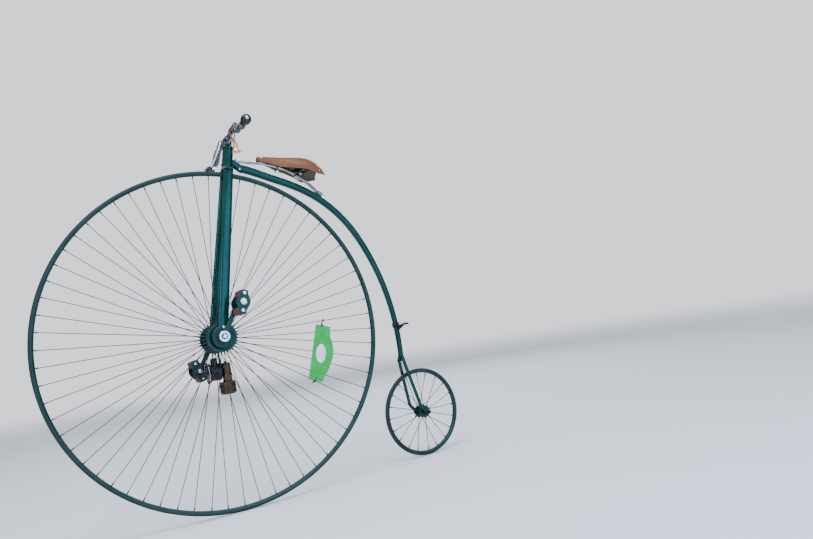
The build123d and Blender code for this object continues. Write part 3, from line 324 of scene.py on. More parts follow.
@material
def strap_hide(finish):
    """Red-brown strap leather with a waxed edge."""
    patch = finish.noise(90.0, 4.0)
    colour = finish.mix(patch.between(0.35, 0.68), tint(0.20, 0.055, 0.022), tint(0.46, 0.165, 0.075))
    finish.wear(Base_Color=colour, Roughness=0.42, Normal=finish.bump(finish.cells(1600.0), 0.0004, 0.4))


@material
def horn(finish):
    """Turned dark grip with a satin polish and pale growth lines."""
    place = finish.stretched(1.0, 0.16, 1.0)
    lines = finish.noise(120.0, 5.0, 0.62, place).between(0.46, 0.74)
    colour = finish.mix(lines, tint(0.010, 0.007, 0.006), tint(0.055, 0.026, 0.016))
    finish.wear(Base_Color=colour, Roughness=0.26 + 0.14 * lines, IOR=1.38)


@material
def aged_brass(finish):
    """Brown brass with patches of patina, darker towards the foot of the tank."""
    patina = finish.noise(30.0, 5.0, 0.6).between(0.30, 0.74)
    # Darker towards the bottom, below a set height.
    low = 1 - finish.axis("Z").between(-0.955, -0.925)
    brown = finish.mix(patina, tint(0.135, 0.078, 0.042), tint(0.070, 0.042, 0.028))
    colour = finish.mix(low * 0.7, brown, tint(0.040, 0.026, 0.022))
    finish.wear(
        Base_Color=colour,
        Roughness=0.30 + 0.16 * patina,
        Metallic=0.9,
        Normal=finish.bump(patina, 0.0002, 0.2),
    )


@material
def bell_metal(finish):
    """Cream-coloured bell metal under a patchy haze."""
    haze = finish.noise(110.0, 4.0).between(0.35, 0.70)
    colour = finish.mix(haze, tint(0.80, 0.50, 0.29), tint(0.58, 0.32, 0.165))
    finish.wear(Base_Color=colour, Roughness=0.30 + 0.2 * haze, Metallic=0.55)


@material
def lamp_japan(finish):
    """Black japanned tin with soot-dulled patches."""
    soot = finish.noise(40.0, 5.0).between(0.42, 0.70)
    colour = finish.mix(soot, tint(0.004, 0.004, 0.006), tint(0.014, 0.012, 0.014))
    finish.wear(Base_Color=colour, Roughness=0.24 + 0.25 * soot, IOR=1.36)


@material
def lamp_pane(finish):
    """Clear pressed glass, a little dusty."""
    dust = finish.noise(70.0, 4.0).between(0.5, 0.8)
    finish.wear(
        Base_Color=tint(0.34, 0.37, 0.38),
        Roughness=0.03 + 0.12 * dust,
        Transmission_Weight=0.9,
        IOR=1.45,
    )


@material
def pedal_rubber(finish):
    """Brown-red rubber with dull, scuffed treads."""
    scuff = finish.noise(130.0, 4.0).between(0.42, 0.70)
    colour = finish.mix(scuff, tint(0.070, 0.016, 0.014), tint(0.140, 0.040, 0.032))
    finish.wear(Base_Color=colour, Roughness=0.62 + 0.2 * scuff, Normal=finish.bump(scuff, 0.0005, 0.5))


@material
def plate_green(finish):
    """Bright green card, slightly uneven, with a satin skin."""
    uneven = finish.noise(26.0, 3.0).between(0.35, 0.7)
    colour = finish.mix(uneven, tint(0.0, 0.34, 0.048), tint(0.0, 0.42, 0.070))
    finish.wear(Base_Color=colour, Roughness=0.5, IOR=1.30, Normal=finish.bump(uneven, 0.0004, 0.3))


@material
def plate_white(finish):
    """The plate's plain white oval."""
    uneven = finish.noise(60.0, 3.0).between(0.35, 0.7)
    colour = finish.mix(uneven, tint(0.80, 0.80, 0.80), tint(0.70, 0.71, 0.71))
    finish.wear(Base_Color=colour, Roughness=0.38)


@material
def tie_black(finish):
    """Black tie strip."""
    ribs = finish.noise(700.0, 2.0)
    colour = finish.mix(ribs, tint(0.010, 0.010, 0.011), tint(0.028, 0.028, 0.030))
    finish.wear(Base_Color=colour, Roughness=0.45)


@material
def floor_matt(finish):
    """Pale floor that fades out far from the bicycle."""
    reach = finish.node("ShaderNodeVectorMath", {"operation": "LENGTH"}, {0: finish.place}, "Value")
    finish.wear(Base_Color=tint(0.74, 0.74, 0.78), Roughness=0.9, Specular_IOR_Level=0.0)
    finish.give_way(reach.between(5.0, 11.0), finish.node("ShaderNodeBsdfTransparent", {}, {}))


# Which finish each slot of the record takes, and the nodes that have one of their own
SLOT_FINISH = {
    "green_paint": "green_enamel",
    "dark_steel": "spoke_steel",
    "nickel": "bright_nickel",
    "tyre": "tyre_rubber",
    "leather": "saddle_hide",
    "grip": "horn",
    "brass": "aged_brass",
    "strap": "strap_hide",
    "black": "lamp_japan",
    "glass": "lamp_pane",
    "plate": "plate_green",
    "pedal_rubber": "pedal_rubber",
}
OWN_FINISH = {
    **dict.fromkeys(("front_hub", "rear_hub", "crank_left", "crank_right"), "dusty_enamel"),
    **dict.fromkeys(("pedal_left", "pedal_right", "bearing_left", "bearing_right"), "dusty_enamel"),
    **dict.fromkeys(("leaf_spring", "spring_clip", "saddle_stay", "saddle_clamp"), "spring_steel"),
    **dict.fromkeys(("handlebar", "bar_clamp", "brake_bracket", "brake_lever"), "bar_plating_painted_reflection"),
    **dict.fromkeys(("mounting_step", "rear_axle"), "step_steel"),
    "lamp_bezel": "lamp_japan",
}


def dress_frame():
    """Give every solid of the frame its finish."""
    for row in frame["record"]["subparts"]:
        node = row["node"]
        materials = nodes[node].data.materials
        materials.clear()
        materials.append(MATERIALS[OWN_FINISH.get(node, SLOT_FINISH[row["material_slot"]])])


def piece_from(mesh, name, body, finish, place=HERE, crisp=40.0):
    """Turn a mesh into a piece that rides on a body. Edges sharper than crisp degrees stay hard."""
    bmesh.ops.recalc_face_normals(mesh, faces=mesh.faces)
    mesh.transform(place)
    mesh.normal_update()
    for face in mesh.faces:
        face.smooth = True
    for edge in mesh.edges:
        edge.smooth = len(edge.link_faces) == 2 and edge.calc_face_angle(0.0) < math.radians(crisp)
    data = bpy.data.meshes.new(name)
    mesh.to_mesh(data)
    mesh.free()
    piece = bpy.data.objects.new(name, data)
    bpy.context.scene.collection.objects.link(piece)
    data.materials.append(MATERIALS[finish])
    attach(piece, body)
    return piece


def turned(mesh, outline, steps, place=HERE, closed=True):
    """Turn an outline of (radius, height) points about the Z axis. Closed outlines make a ring."""
    rows = []
    for step in range(steps):
        x, y = math.cos(math.tau * step / steps), math.sin(math.tau * step / steps)
        points = [place @ Vector((radius * x, radius * y, up)) for radius, up in outline]
        rows.append([mesh.verts.new(point) for point in points])
    for here, following in zip(rows, rows[1:] + rows[:1]):
        for point in range(len(outline) if closed else len(outline) - 1):
            beside = (point + 1) % len(outline)
            mesh.faces.new((here[point], following[point], following[beside], here[beside]))
    if not closed:
        for end in (0, -1):
            mesh.faces.new([row[end] for row in rows])


def skin(mesh, outlines, place=HERE):
    """Skin a stack of equal outlines and close both ends."""
    rows = [[mesh.verts.new(place @ Vector(point)) for point in outline] for outline in outlines]
    for lower, upper in zip(rows, rows[1:]):
        for corner in range(len(lower)):
            beside = (corner + 1) % len(lower)
            mesh.faces.new((lower[corner], lower[beside], upper[beside], upper[corner]))
    mesh.faces.new(rows[0])
    mesh.faces.new(rows[-1])


def facing(centre, direction, up=Vector((0, 0, 1))):
    """Placement with its Z along a direction."""
    z = Vector(direction).normalized()
    x = Vector(up).cross(z)
    x = x.normalized() if x.length > 1e-6 else Vector((1, 0, 0))
    y = z.cross(x)
    return Matrix.Translation(centre) @ Matrix((x, y, z)).transposed().to_4x4()


def arc(centre, radius, start, end, steps):
    """Points on an arc from start to end, in degrees."""
    angles = [math.radians(start + (end - start) * step / steps) for step in range(steps + 1)]
    return [(centre[0] + radius * math.cos(a), centre[1] + radius * math.sin(a)) for a in angles]


def eased(points, steps):
    """More points on a smooth curve through the given ones."""
    made = []
    for index in range(len(points) - 1):
        before, start = points[max(index - 1, 0)], points[index]
        end, after = points[index + 1], points[min(index + 2, len(points) - 1)]
        for step in range(steps):
            t = step / steps
            weights = (
                -0.5 * t + t * t - 0.5 * t**3,
                1 - 2.5 * t * t + 1.5 * t**3,
                0.5 * t + 2 * t * t - 1.5 * t**3,
                -0.5 * t * t + 0.5 * t**3,
            )
            values = zip(before, start, end, after)
            made.append(tuple(sum(w * value for w, value in zip(weights, row)) for row in values))
    return made + [tuple(points[-1])]


def along(arcs, distance, heading=0.0):
    """Place and heading after a distance along a chain of tangent arcs."""
    out = up = 0.0
    angle = math.radians(heading)
    for radius, length in arcs:
        step = min(max(distance, 0.0), length)
        after = angle - step / radius
        out += radius * (math.sin(angle) - math.sin(after))
        up += radius * (math.cos(after) - math.cos(angle))
        angle = after
        distance -= length
    return out, up, angle


# A nut's eased ends and the foot of its bore, as shares of its thickness
NUT_EASE = 0.12
NUT_PIT = 0.4


def hexagon(mesh, place, across, thick, bore=0.0):
    """Hexagonal nut or head with eased ends, its foot on the placement's XY plane."""
    corner = across / math.sqrt(3)
    ease = thick * NUT_EASE
    outline = [(corner - ease, 0.0), (corner, ease), (corner, thick - ease), (corner - ease, thick)]
    if bore:
        outline += [(bore, thick), (bore, thick * NUT_PIT)]
    turned(mesh, outline, 6, place, closed=False)


def dome(mesh, place, radius, height, steps=16):
    """Round head with a small flat rim."""
    rise = [(radius * math.cos(a), height * math.sin(a)) for a in (0.0, 0.35, 0.7, 1.05, 1.4)]
    turned(mesh, [(radius, -height * 0.2)] + rise, steps, place, closed=False)


def acorn(mesh, place, across, thick):
    """Hexagonal nut with a domed cap."""
    hexagon(mesh, place, across, thick * 0.55)
    dome(mesh, place @ Matrix.Translation((0, 0, thick * 0.5)), across * 0.44, thick * 0.5, 18)


def rod(mesh, start, end, radius, sides=12):
    """Straight round rod between two points."""
    way = end - start
    turned(mesh, [(radius, 0.0), (radius, way.length)], sides, facing(start, way), closed=False)


def box(mesh, place, across, deep, tall, ease):
    """Block with eased upper edges, standing on the placement's XY plane."""
    outlines = []
    for inset, up in ((0, 0), (0, tall - ease), (ease, tall)):
        x, y = across / 2 - inset, deep / 2 - inset
        outlines.append(((x, y, up), (-x, y, up), (-x, -y, up), (x, -y, up)))
    skin(mesh, outlines, place)


def rounded(across, deep, corner):
    """Points of a rectangle with round corners."""
    points = []
    for turn, (x, y) in enumerate(((1, 1), (-1, 1), (-1, -1), (1, -1))):
        middle = (x * (across / 2 - corner), y * (deep / 2 - corner))
        points += arc(middle, corner, 90 * turn, 90 * turn + 90, 5)
    return points


def swept(mesh, path, section):
    """Carry a section, a list of (side, up) points, along a path."""
    outlines = []
    side = None
    for index, point in enumerate(path):
        ahead = Vector(path[min(index + 1, len(path) - 1)]) - Vector(path[max(index - 1, 0)])
        ahead.normalize()
        if side is None:
            side = ahead.orthogonal().normalized()
        side = (side - ahead * side.dot(ahead)).normalized()
        up = ahead.cross(side)
        outlines.append([Vector(point) + side * x + up * y for x, y in section])
    skin(mesh, outlines)


# Tyres, rims and the spokes' ends; the moulded line lies between two shares of the tyre's half width
TYRE_THICK = 0.019
TYRE_FLAT = 0.035
TYRE_LINE = (0.84, 0.96)
TYRE_LINE_DEEP = 0.00035
RIM_WALL = 0.0024
RIM_GAP = 0.00025
RIM_LIP = 0.0016
RIM_OUTER = TYRE_THICK / 2 + RIM_GAP + RIM_WALL
SPOKE_OFFSET = 0.003
NIPPLE = ((0.0026, -0.0005), (0.0026, 0.0105), (0.0021, 0.0125), (0.00155, 0.0135))
SLEEVE = ((0.0029, -0.001), (0.0029, 0.006), (0.0024, 0.0075), (0.00155, 0.0085))
WHEEL_TURN = Matrix.Rotation(math.radians(-90), 4, "X")

# Placement, radius, facets, spokes, and the flanges' radius and distance from the middle
WHEELS = {
    "front": (STEERED, FRONT_RADIUS, 320, 64, 0.061, 0.071),
    "rear": (REAR, REAR_RADIUS, 160, 20, 0.028, 0.022),
}


def make_tyre(wheel):
    """Solid rubber ring, a little flatter on the tread, with a moulded line each side."""
    place, radius, facets = WHEELS[wheel][:3]
    half = TYRE_THICK / 2
    outline = []
    for out, side in arc((0.0, 0.0), 1.0, 0, 360, 32)[:-1]:
        size = half * (1 - TYRE_FLAT * max(0.0, out) ** 6)
        if out > 0 and TYRE_LINE[0] < abs(side) < TYRE_LINE[1]:
            size -= TYRE_LINE_DEEP
        outline.append((radius - half + size * out, size * side))
    mesh = bmesh.new()
    turned(mesh, outline, facets)
    turn = place @ WHEEL_TURN
    tyre = piece_from(mesh, f"tyre_{wheel}", f"{wheel}_wheel", "tyre_rubber", turn)
    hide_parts(f"{wheel}_tyre")


def make_rim(wheel):
    """U of rolled steel that holds the tyre between its lips."""
    place, radius, facets = WHEELS[wheel][:3]
    tread = radius - TYRE_THICK / 2
    lip = math.degrees(math.asin(RIM_LIP / RIM_OUTER))
    outside = arc((tread, 0), RIM_OUTER, 90 - lip, 270 + lip, 28)
    inside = arc((tread, 0), TYRE_THICK / 2 + RIM_GAP, 270 + lip, 90 - lip, 28)
    mesh = bmesh.new()
    turned(mesh, outside + inside, facets)
    turn = place @ WHEEL_TURN
    rim = piece_from(mesh, f"rim_{wheel}", f"{wheel}_wheel", "dusty_enamel", turn, 50.0)
    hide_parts(f"{wheel}_rim")


def make_nipples(wheel):
    """Nipples at the rim and screwed sleeves at the flanges, left and right in turn."""
    place, radius, facets, spokes, flange_radius, flange_half = WHEELS[wheel]
    mesh = bmesh.new()
    for spoke in range(spokes):
        side = RIGHT if spoke % 2 else -RIGHT
        angle = math.tau * spoke / spokes
        outward = Vector((math.sin(angle), 0, math.cos(angle)))
        start = outward * flange_radius + side * flange_half
        end = outward * (radius - TYRE_THICK / 2 - RIM_OUTER) + side * SPOKE_OFFSET
        turned(mesh, NIPPLE, 10, facing(end, start - end), closed=False)
        turned(mesh, SLEEVE, 10, facing(start, end - start), closed=False)
    piece_from(mesh, f"nipples_{wheel}", f"{wheel}_wheel", "spoke_steel", place)


# Handlebar, in the steered frame
RAKE = math.radians(12.0)
HEAD_UP = Vector((math.sin(RAKE), 0, math.cos(RAKE)))
HEAD_BACK = Vector((math.cos(RAKE), 0, -math.sin(RAKE)))
BAR_TILT = math.radians(2.5)
BAR_MIDDLE = 0.8536 * HEAD_UP - 0.007 * HEAD_BACK
BAR_OUT = RIGHT * math.cos(BAR_TILT) - HEAD_UP * math.sin(BAR_TILT)
BAR_UP = RIGHT * math.sin(BAR_TILT) + HEAD_UP * math.cos(BAR_TILT)
GRIP_COVER = 0.062

# The bar's arcs from its middle outwards: radius, length; a negative radius turns up
STRAIGHT = 1000.0
BAR_ARCS = (
    (STRAIGHT, 0.026),
    (-0.320, 0.045),
    (1.300, 0.098),
    (0.055, 0.050),
    (STRAIGHT, 0.022),
    (-0.040, 0.036),
    (STRAIGHT, 0.066),
)


def bar_place(side, distance):
    """Point on one half of the bar and its outward direction."""
    out, up, angle = along(BAR_ARCS, distance)
    point = BAR_MIDDLE + BAR_OUT * side * out + BAR_UP * up
    return point, BAR_OUT * side * math.cos(angle) + BAR_UP * math.sin(angle)


# Grip turned from dark horn: radius, distance from its ferrule's end
FERRULE = (
    (0.0113, 0.0),
    (0.0139, 0.0002),
    (0.0146, 0.0012),
    (0.0146, 0.0032),
    (0.0139, 0.0042),
    (0.0113, 0.0046),
)
GRIP_LINE = (
    (0.0116, 0.0046),
    (0.0134, 0.0050),
    (0.0137, 0.0075),
    (0.0127, 0.0100),
    (0.0126, 0.0220),
    (0.0139, 0.0360),
    (0.0170, 0.0490),
    (0.0201, 0.0610),
    (0.0213, 0.0705),
    (0.0206, 0.0785),
    (0.0174, 0.0860),
    (0.0120, 0.0902),
    (0.0062, 0.0914),
)
KNOB_END = ((0.0060, 0.0905), (0.0060, 0.0916), (0.0046, 0.0922), (0.0020, 0.0925), (0.0004, 0.0925))


def make_grips():
    """Turned grips, each with its ferrule and end knob."""
    run = sum(length for radius, length in BAR_ARCS)
    for name, side in SIDES.items():
        place = STEERED @ facing(*bar_place(side, run - GRIP_COVER))
        mesh = bmesh.new()
        turned(mesh, eased(GRIP_LINE, 4), 40, closed=False)
        grip = piece_from(mesh, f"grip_turned_{name}", "steering", "horn", place)
        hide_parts(f"grip_{name}")
        mesh = bmesh.new()
        turned(mesh, FERRULE, 32, closed=False)
        turned(mesh, KNOB_END, 24, closed=False)
        piece_from(mesh, f"grip_mounts_{name}", "steering", "bright_nickel", place)


# Bell: outside from the crown down, its raised rings, and the clapper that hangs in it
BELL_ACROSS = 0.112
BELL_DROP = 0.05025
BELL_OUTSIDE = (
    (0.0030, -0.0002),
    (0.0068, -0.0006),
    (0.0098, -0.0024),
    (0.0109, -0.0055),
    (0.0110, -0.0110),
    (0.0113, -0.0180),
    (0.0121, -0.0260),
    (0.0136, -0.0340),
    (0.0158, -0.0400),
    (0.0181, -0.0438),
    (0.0194, -0.0452),
    (0.0195, -0.0460),
)
BELL_WALL = 0.0016
BELL_CROWN = 0.0012
BELL_RINGS = (-0.0330, -0.0425)
BELL_RING = 0.0006
CLAPPER = [(0.0001, -0.0492), *arc((0, -0.0450), 0.0042, -80, 80, 8), (0.0008, -0.0400), (0.0008, -0.0060)]
CLAPPER_PIN = ((0.0016, -0.0050), (0.0016, 0.0015), (0.0032, 0.0018), (0.0032, 0.0032), (0.0010, 0.0040))


def make_bell():
    """Turned shell with an open mouth, and its clapper on a pin."""
    hook = bar_place(-1, BELL_ACROSS)[0]
    top = STEERED @ Matrix.Translation(hook - Vector((0, 0, BELL_DROP)))
    outside = eased(BELL_OUTSIDE, 4)
    inside = [(max(radius - BELL_WALL, BELL_CROWN), up - 0.2 * BELL_WALL) for radius, up in outside]
    inside[-1] = (outside[-1][0] - BELL_WALL, outside[-1][1])
    mesh = bmesh.new()
    turned(mesh, outside + inside[::-1], 48)
    for ring in BELL_RINGS:
        radius = min(outside, key=lambda point: abs(point[1] - ring))[0]
        turned(mesh, arc((radius, ring), BELL_RING, 0, 315, 7), 48)
    shell = piece_from(mesh, "bell_shell", "steering", "bell_metal", top)
    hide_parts("bell")

    mesh = bmesh.new()
    turned(mesh, CLAPPER, 20, closed=False)
    turned(mesh, CLAPPER_PIN, 16, closed=False)
    piece_from(mesh, "bell_clapper", "steering", "bright_nickel", top)


# Cranks and the axle's ends
CRANK_ANGLE = math.radians(31.0)
CRANK_LENGTH = 0.140
CRANK_INNER = 0.104
CRANK_NUT_FACE = 0.1252
CRANK_NUT_RING = ((0.0135, 0.0), (0.0135, 0.0007), (0.0128, 0.0010), (0.0122, 0.0))
AXLE_HALF = 0.126
AXLE_SQUARE = 0.0159
AXLE_SQUARE_LONG = 0.0072
AXLE_CENTRE = ((0.0032, 0.0), (0.0032, 0.0004), (0.0001, 0.0009))


def crank_way(side):
    """The way from the hub to a pedal."""
    angle = CRANK_ANGLE if side < 0 else CRANK_ANGLE + math.pi
    return Vector((math.sin(angle), 0, math.cos(angle)))


def make_axle_ends():
    """Bright rings on the crank nuts and the plated square ends of the axle."""
    for name, side in SIDES.items():
        outward = RIGHT * side
        mesh = bmesh.new()
        square = facing(outward * AXLE_HALF, outward, crank_way(side))
        box(mesh, square, AXLE_SQUARE, AXLE_SQUARE, AXLE_SQUARE_LONG, ease=0.0012)
        end = square @ Matrix.Translation((0, 0, AXLE_SQUARE_LONG))
        turned(mesh, AXLE_CENTRE, 16, end, closed=False)
        turned(mesh, CRANK_NUT_RING, 36, facing(outward * CRANK_NUT_FACE, outward))
        piece_from(mesh, f"axle_end_{name}", "front_wheel", "bright_nickel", STEERED)


# Pedals: the plates' distances from the middle, the bolts' from the shaft, how far the nuts and the cap
# stand off, and the rubber blocks
PEDAL_TILTS = {"left": math.radians(14.0), "right": math.radians(-18.0)}
PEDAL_INNER = 0.124
PEDAL_OUTER = 0.220
PEDAL_BOLTS = 0.0345
PEDAL_NUT_OFF = 0.0034
SHAFT_NUT_OFF = 0.0004
PEDAL_CAP_OFF = 0.0072
PEDAL_CAP = ((0.0125, 0), (0.0128, 0.0012), (0.0105, 0.0026), (0.0060, 0.0034), (0.0001, 0.0037))
RUBBER_CLEAR = 0.00375
RUBBER_TALL = 0.027
RUBBER_DEEP = 0.034
RUBBER_CORNER = 0.0054
RUBBER_GROOVES = 11
GROOVE_DEEP = 0.0016
GROOVE = ((0.0, GROOVE_DEEP), (0.16, 0.0), (0.70, 0.0), (0.86, GROOVE_DEEP))


def make_pedal(name, side):
    """Plated nuts on both plates, a shaft cap, and grooved rubbers on their bolts."""
    upright = Vector((math.sin(PEDAL_TILTS[name]), 0, math.cos(PEDAL_TILTS[name])))
    outward = RIGHT * side
    centre = crank_way(side) * CRANK_LENGTH
    bolts = [centre + upright * end * PEDAL_BOLTS for end in (-1, 1)]
    mesh = bmesh.new()
    for bolt in bolts:
        outer = facing(bolt + outward * (PEDAL_OUTER + PEDAL_NUT_OFF), outward, upright)
        acorn(mesh, outer, across=0.0135, thick=0.0068)
        inner = facing(bolt + outward * PEDAL_INNER, -outward, upright)
        acorn(mesh, inner, across=0.0115, thick=0.0036)
    piece_from(mesh, f"pedal_nuts_{name}", f"pedal_{name}", "bright_nickel", STEERED)

    mesh = bmesh.new()
    shaft_nut = facing(centre + outward * (CRANK_INNER + SHAFT_NUT_OFF), -outward, upright)
    acorn(mesh, shaft_nut, across=0.0165, thick=0.0052)
    cap = facing(centre + outward * (PEDAL_OUTER + PEDAL_CAP_OFF), outward)
    turned(mesh, PEDAL_CAP, 32, cap, closed=False)
    piece_from(mesh, f"pedal_cap_{name}", "front_wheel", "bright_nickel", STEERED)

    mesh = bmesh.new()
    long = PEDAL_OUTER - PEDAL_INNER - 2 * RUBBER_CLEAR
    pitch = long / RUBBER_GROOVES
    steps = [(pitch * (groove + share), sink) for groove in range(RUBBER_GROOVES) for share, sink in GROOVE]
    outlines = []
    for up, sink in [*steps, (long, GROOVE_DEEP)]:
        outline = rounded(RUBBER_TALL - 2 * sink, RUBBER_DEEP - 2 * sink, RUBBER_CORNER)
        outlines.append([(x, y, up) for x, y in outline])
    for bolt in bolts:
        start = bolt + outward * (PEDAL_INNER + RUBBER_CLEAR)
        skin(mesh, outlines, facing(start, outward, outward.cross(upright)))
    treads = f"pedal_treads_{name}"
    rubbers = piece_from(mesh, treads, f"pedal_{name}", "pedal_rubber", STEERED, 28.0)
    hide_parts(f"pedal_rubbers_{name}")


# Saddle leather across: distance from the nose, half width, top above the middle, drop from top to edge
SADDLE_MIDDLE = 0.153
LEATHER_THICK = 0.0048
HIDE, EDGE, UNDER = range(3)
LEATHER_SECTIONS = (
    (0.0, 0.0165, 0.009, 0.023),
    (0.045, 0.026, 0.007, 0.034),
    (0.095, 0.040, 0.003, 0.050),
    (0.150, 0.063, 0.0, 0.059),
    (0.205, 0.087, -0.004, 0.070),
    (0.245, 0.092, -0.016, 0.080),
    (0.280, 0.070, -0.040, 0.057),
    (0.297, 0.053, -0.058, 0.041),
)

# Rivets: the row of the leather that they go through, and their shares of the way over it, and the small
# steps along and across that give the leather's slope there
NOSE_RIVETS = (0.016, (0.30, 0.5, 0.70))
CANTLE_RIVETS = (0.252, (0.06, 0.17, 0.29, 0.42, 0.58, 0.71, 0.83, 0.94))
RIVET_STEP = (0.004, 0.01)


def leather_point(row, share, inward):
    """Point on one arch of the leather: share runs from one edge over the top to the other."""
    distance, half, top, drop = row
    angle = math.pi * share
    across, up = (half - inward) * math.cos(angle), (drop - inward) * math.sin(angle)
    return Vector((distance - SADDLE_MIDDLE, across, top - drop + up))


def make_leather():
    """Stretched leather from the nose to the cantle, with a cut edge and a flesh side."""
    turns = 44
    mesh = bmesh.new()
    grid = []
    for row in eased(LEATHER_SECTIONS, 7):
        outer = [leather_point(row, step / turns, 0.0) for step in range(turns + 1)]
        inner = [leather_point(row, step / turns, LEATHER_THICK) for step in range(turns, -1, -1)]
        grid.append([mesh.verts.new(point) for point in outer + inner])
    count = len(grid[0])
    for here, following in zip(grid, grid[1:]):
        for point in range(count):
            beside = (point + 1) % count
            face = mesh.faces.new((here[point], following[point], following[beside], here[beside]))
            face.material_index = EDGE if point in (turns, count - 1) else UNDER if point > turns else HIDE
    for end in (grid[0], grid[-1]):
        for point in range(turns):
            under = count - 1 - point
            face = mesh.faces.new((end[point], end[point + 1], end[under - 1], end[under]))
            face.material_index = EDGE
    leather = piece_from(mesh, "saddle_hide", "frame", "saddle_hide", crisp=50.0)
    leather.data.materials.append(MATERIALS["hide_edge"])
    leather.data.materials.append(MATERIALS["saddle_under"])
    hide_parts("saddle_leather")


def leather_row(distance):
    """The leather's section at a distance from the nose."""
    rows = eased(LEATHER_SECTIONS, 20)
    return min(rows, key=lambda row: abs(row[0] - distance))


def make_rivets():
    """Bright heads along the nose and the cantle, square to the leather."""
    mesh = bmesh.new()
    for distance, shares in (NOSE_RIVETS, CANTLE_RIVETS):
        row = leather_row(distance)
        for share in shares:
            point = leather_point(row, share, 0.0)
            beside = leather_point(row, share + RIVET_STEP[1], 0.0)
            ahead = leather_point(leather_row(distance + RIVET_STEP[0]), share, 0.0)
            outward = (beside - point).cross(ahead - point)
            if outward.z < 0:
                outward.negate()
            dome(mesh, facing(point, outward), radius=0.0042, height=0.0016, steps=14)
    piece_from(mesh, "saddle_rivets", "frame", "bright_nickel")


# Leaf spring over the backbone, with its bolt's washer, nut and dome, the saddle's clamp and its stay
SPRING_START = Vector((0.19214, 0, 0.74421))
SPRING_HEADING = -9.5
SPRING_ARCS = ((-1.256, 0.103), (0.394, 0.306), (-0.220, 0.036))
SPRING_HALF = 0.0025
SPRING_BOLT = 0.009
WASHER_DROP = 0.0033
NUT_LIFT = 0.0003
DOME_LIFT = 0.0060
SPRING_WASHER = ((0.0110, 0.0), (0.0110, 0.0026), (0.0104, 0.0031), (0.0060, 0.0031), (0.0060, 0.0))
CLAMP_BACK = 0.482
CLAMP_LIFT = 0.012
CLAMP_HALF = 0.010
CLAMP_BOLT_HALF = 0.024
CLAMP_DOME = 0.0110
STAY_BACK = 0.388
STAY_DROP = 0.0262


def on_spring(distance, lift):
    """Placement on the spring's centre line, its Z away from the spring's top face."""
    out, up, angle = along(SPRING_ARCS, distance, SPRING_HEADING)
    normal = Vector((-math.sin(angle), 0, math.cos(angle)))
    return facing(SPRING_START + Vector((out, 0, up)) + normal * lift, normal, RIGHT)


def spring_distance(back):
    """How far along the spring a distance back from the hub is."""
    reach = sum(length for radius, length in SPRING_ARCS)
    steps = [reach * step / 400 for step in range(400)]
    return next(step for step in steps if SPRING_START.x + along(SPRING_ARCS, step, SPRING_HEADING)[0] > back)


def make_spring_fittings():
    """Front bolt on its washer, the stay's nut, and the clamp's cross bolt with two nuts."""
    mesh = bmesh.new()
    turned(mesh, SPRING_WASHER, 32, on_spring(SPRING_BOLT, -SPRING_HALF - WASHER_DROP))
    hexagon(mesh, on_spring(SPRING_BOLT, SPRING_HALF + NUT_LIFT), across=0.0172, thick=0.0062)
    dome(mesh, on_spring(SPRING_BOLT, SPRING_HALF + DOME_LIFT), radius=0.0062, height=0.0022)
    bolt = piece_from(mesh, "spring_bolt_head", "frame", "bright_nickel", FRAME)
    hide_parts("spring_bolt")

    mesh = bmesh.new()
    stay = on_spring(spring_distance(STAY_BACK), -STAY_DROP)
    hexagon(mesh, stay, across=0.0166, thick=0.0084, bore=0.0042)
    clamp = on_spring(spring_distance(CLAMP_BACK), CLAMP_LIFT).translation
    for side in SIDES.values():
        nut = facing(clamp + RIGHT * side * CLAMP_HALF, RIGHT * side, HEAD_UP)
        hexagon(mesh, nut, across=0.0150, thick=0.0115)
        dome(mesh, nut @ Matrix.Translation((0, 0, CLAMP_DOME)), radius=0.0052, height=0.0030)
    half = RIGHT * CLAMP_BOLT_HALF
    rod(mesh, clamp - half, clamp + half, radius=0.0036, sides=16)
    piece_from(mesh, "saddle_nuts", "frame", "bright_nickel", FRAME)


# Screw in the neck with its way out, and the rear axle's nuts
NECK_SCREW = Vector((0.203, -0.0146, 0.7055))
NECK_SCREW_WAY = Vector((-0.18, -0.86, -0.48))
REAR_NUT = 0.0503


def make_frame_fittings():
    """Screw in the neck's side and hexagonal nuts on the rear axle."""
    mesh = bmesh.new()
    dome(mesh, facing(NECK_SCREW, NECK_SCREW_WAY), radius=0.0048, height=0.0026)
    piece_from(mesh, "neck_screw", "frame", "bright_nickel", FRAME)
    mesh = bmesh.new()
    for side in SIDES.values():
        nut = facing(RIGHT * side * REAR_NUT, RIGHT * side)
        hexagon(mesh, nut, across=0.0206, thick=0.0088, bore=0.0052)
    piece_from(mesh, "rear_nuts", "frame", "step_steel", REAR)


# Ribs of the mounting step: how many, from its outer end, apart, and how far its top lies below its tip
STEP_RIBS = 6
STEP_RIB_START = 0.010
STEP_RIB_PITCH = 0.009
STEP_TIP = 0.0042


def make_step_treads():
    """Raised ribs across the step's plate."""
    low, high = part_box("mounting_step")
    mesh = bmesh.new()
    for rib in range(STEP_RIBS):
        along_step = low[1] + STEP_RIB_START + STEP_RIB_PITCH * rib
        place = Matrix.Translation(((low[0] + high[0]) / 2, along_step, high[2] - STEP_TIP))
        box(mesh, place, across=0.030, deep=0.0030, tall=0.0014, ease=0.0006)
    piece_from(mesh, "step_treads", "frame", "step_steel")


# The brake's pin with its two heads, and the oilers on the bearing cases
BRAKE_PIN = BAR_MIDDLE - Vector((0.025, 0, 0))
BRAKE_PIN_LEFT = 0.0123
BRAKE_PIN_RIGHT = 0.0300
BEARING_FACE = 0.0984
OILER = Vector((0.008, 0, 0.0372))
OILER_CUP = ((0.0062, 0.0), (0.0062, 0.0012), (0.0050, 0.0018))
OILER_DOME = 0.0016


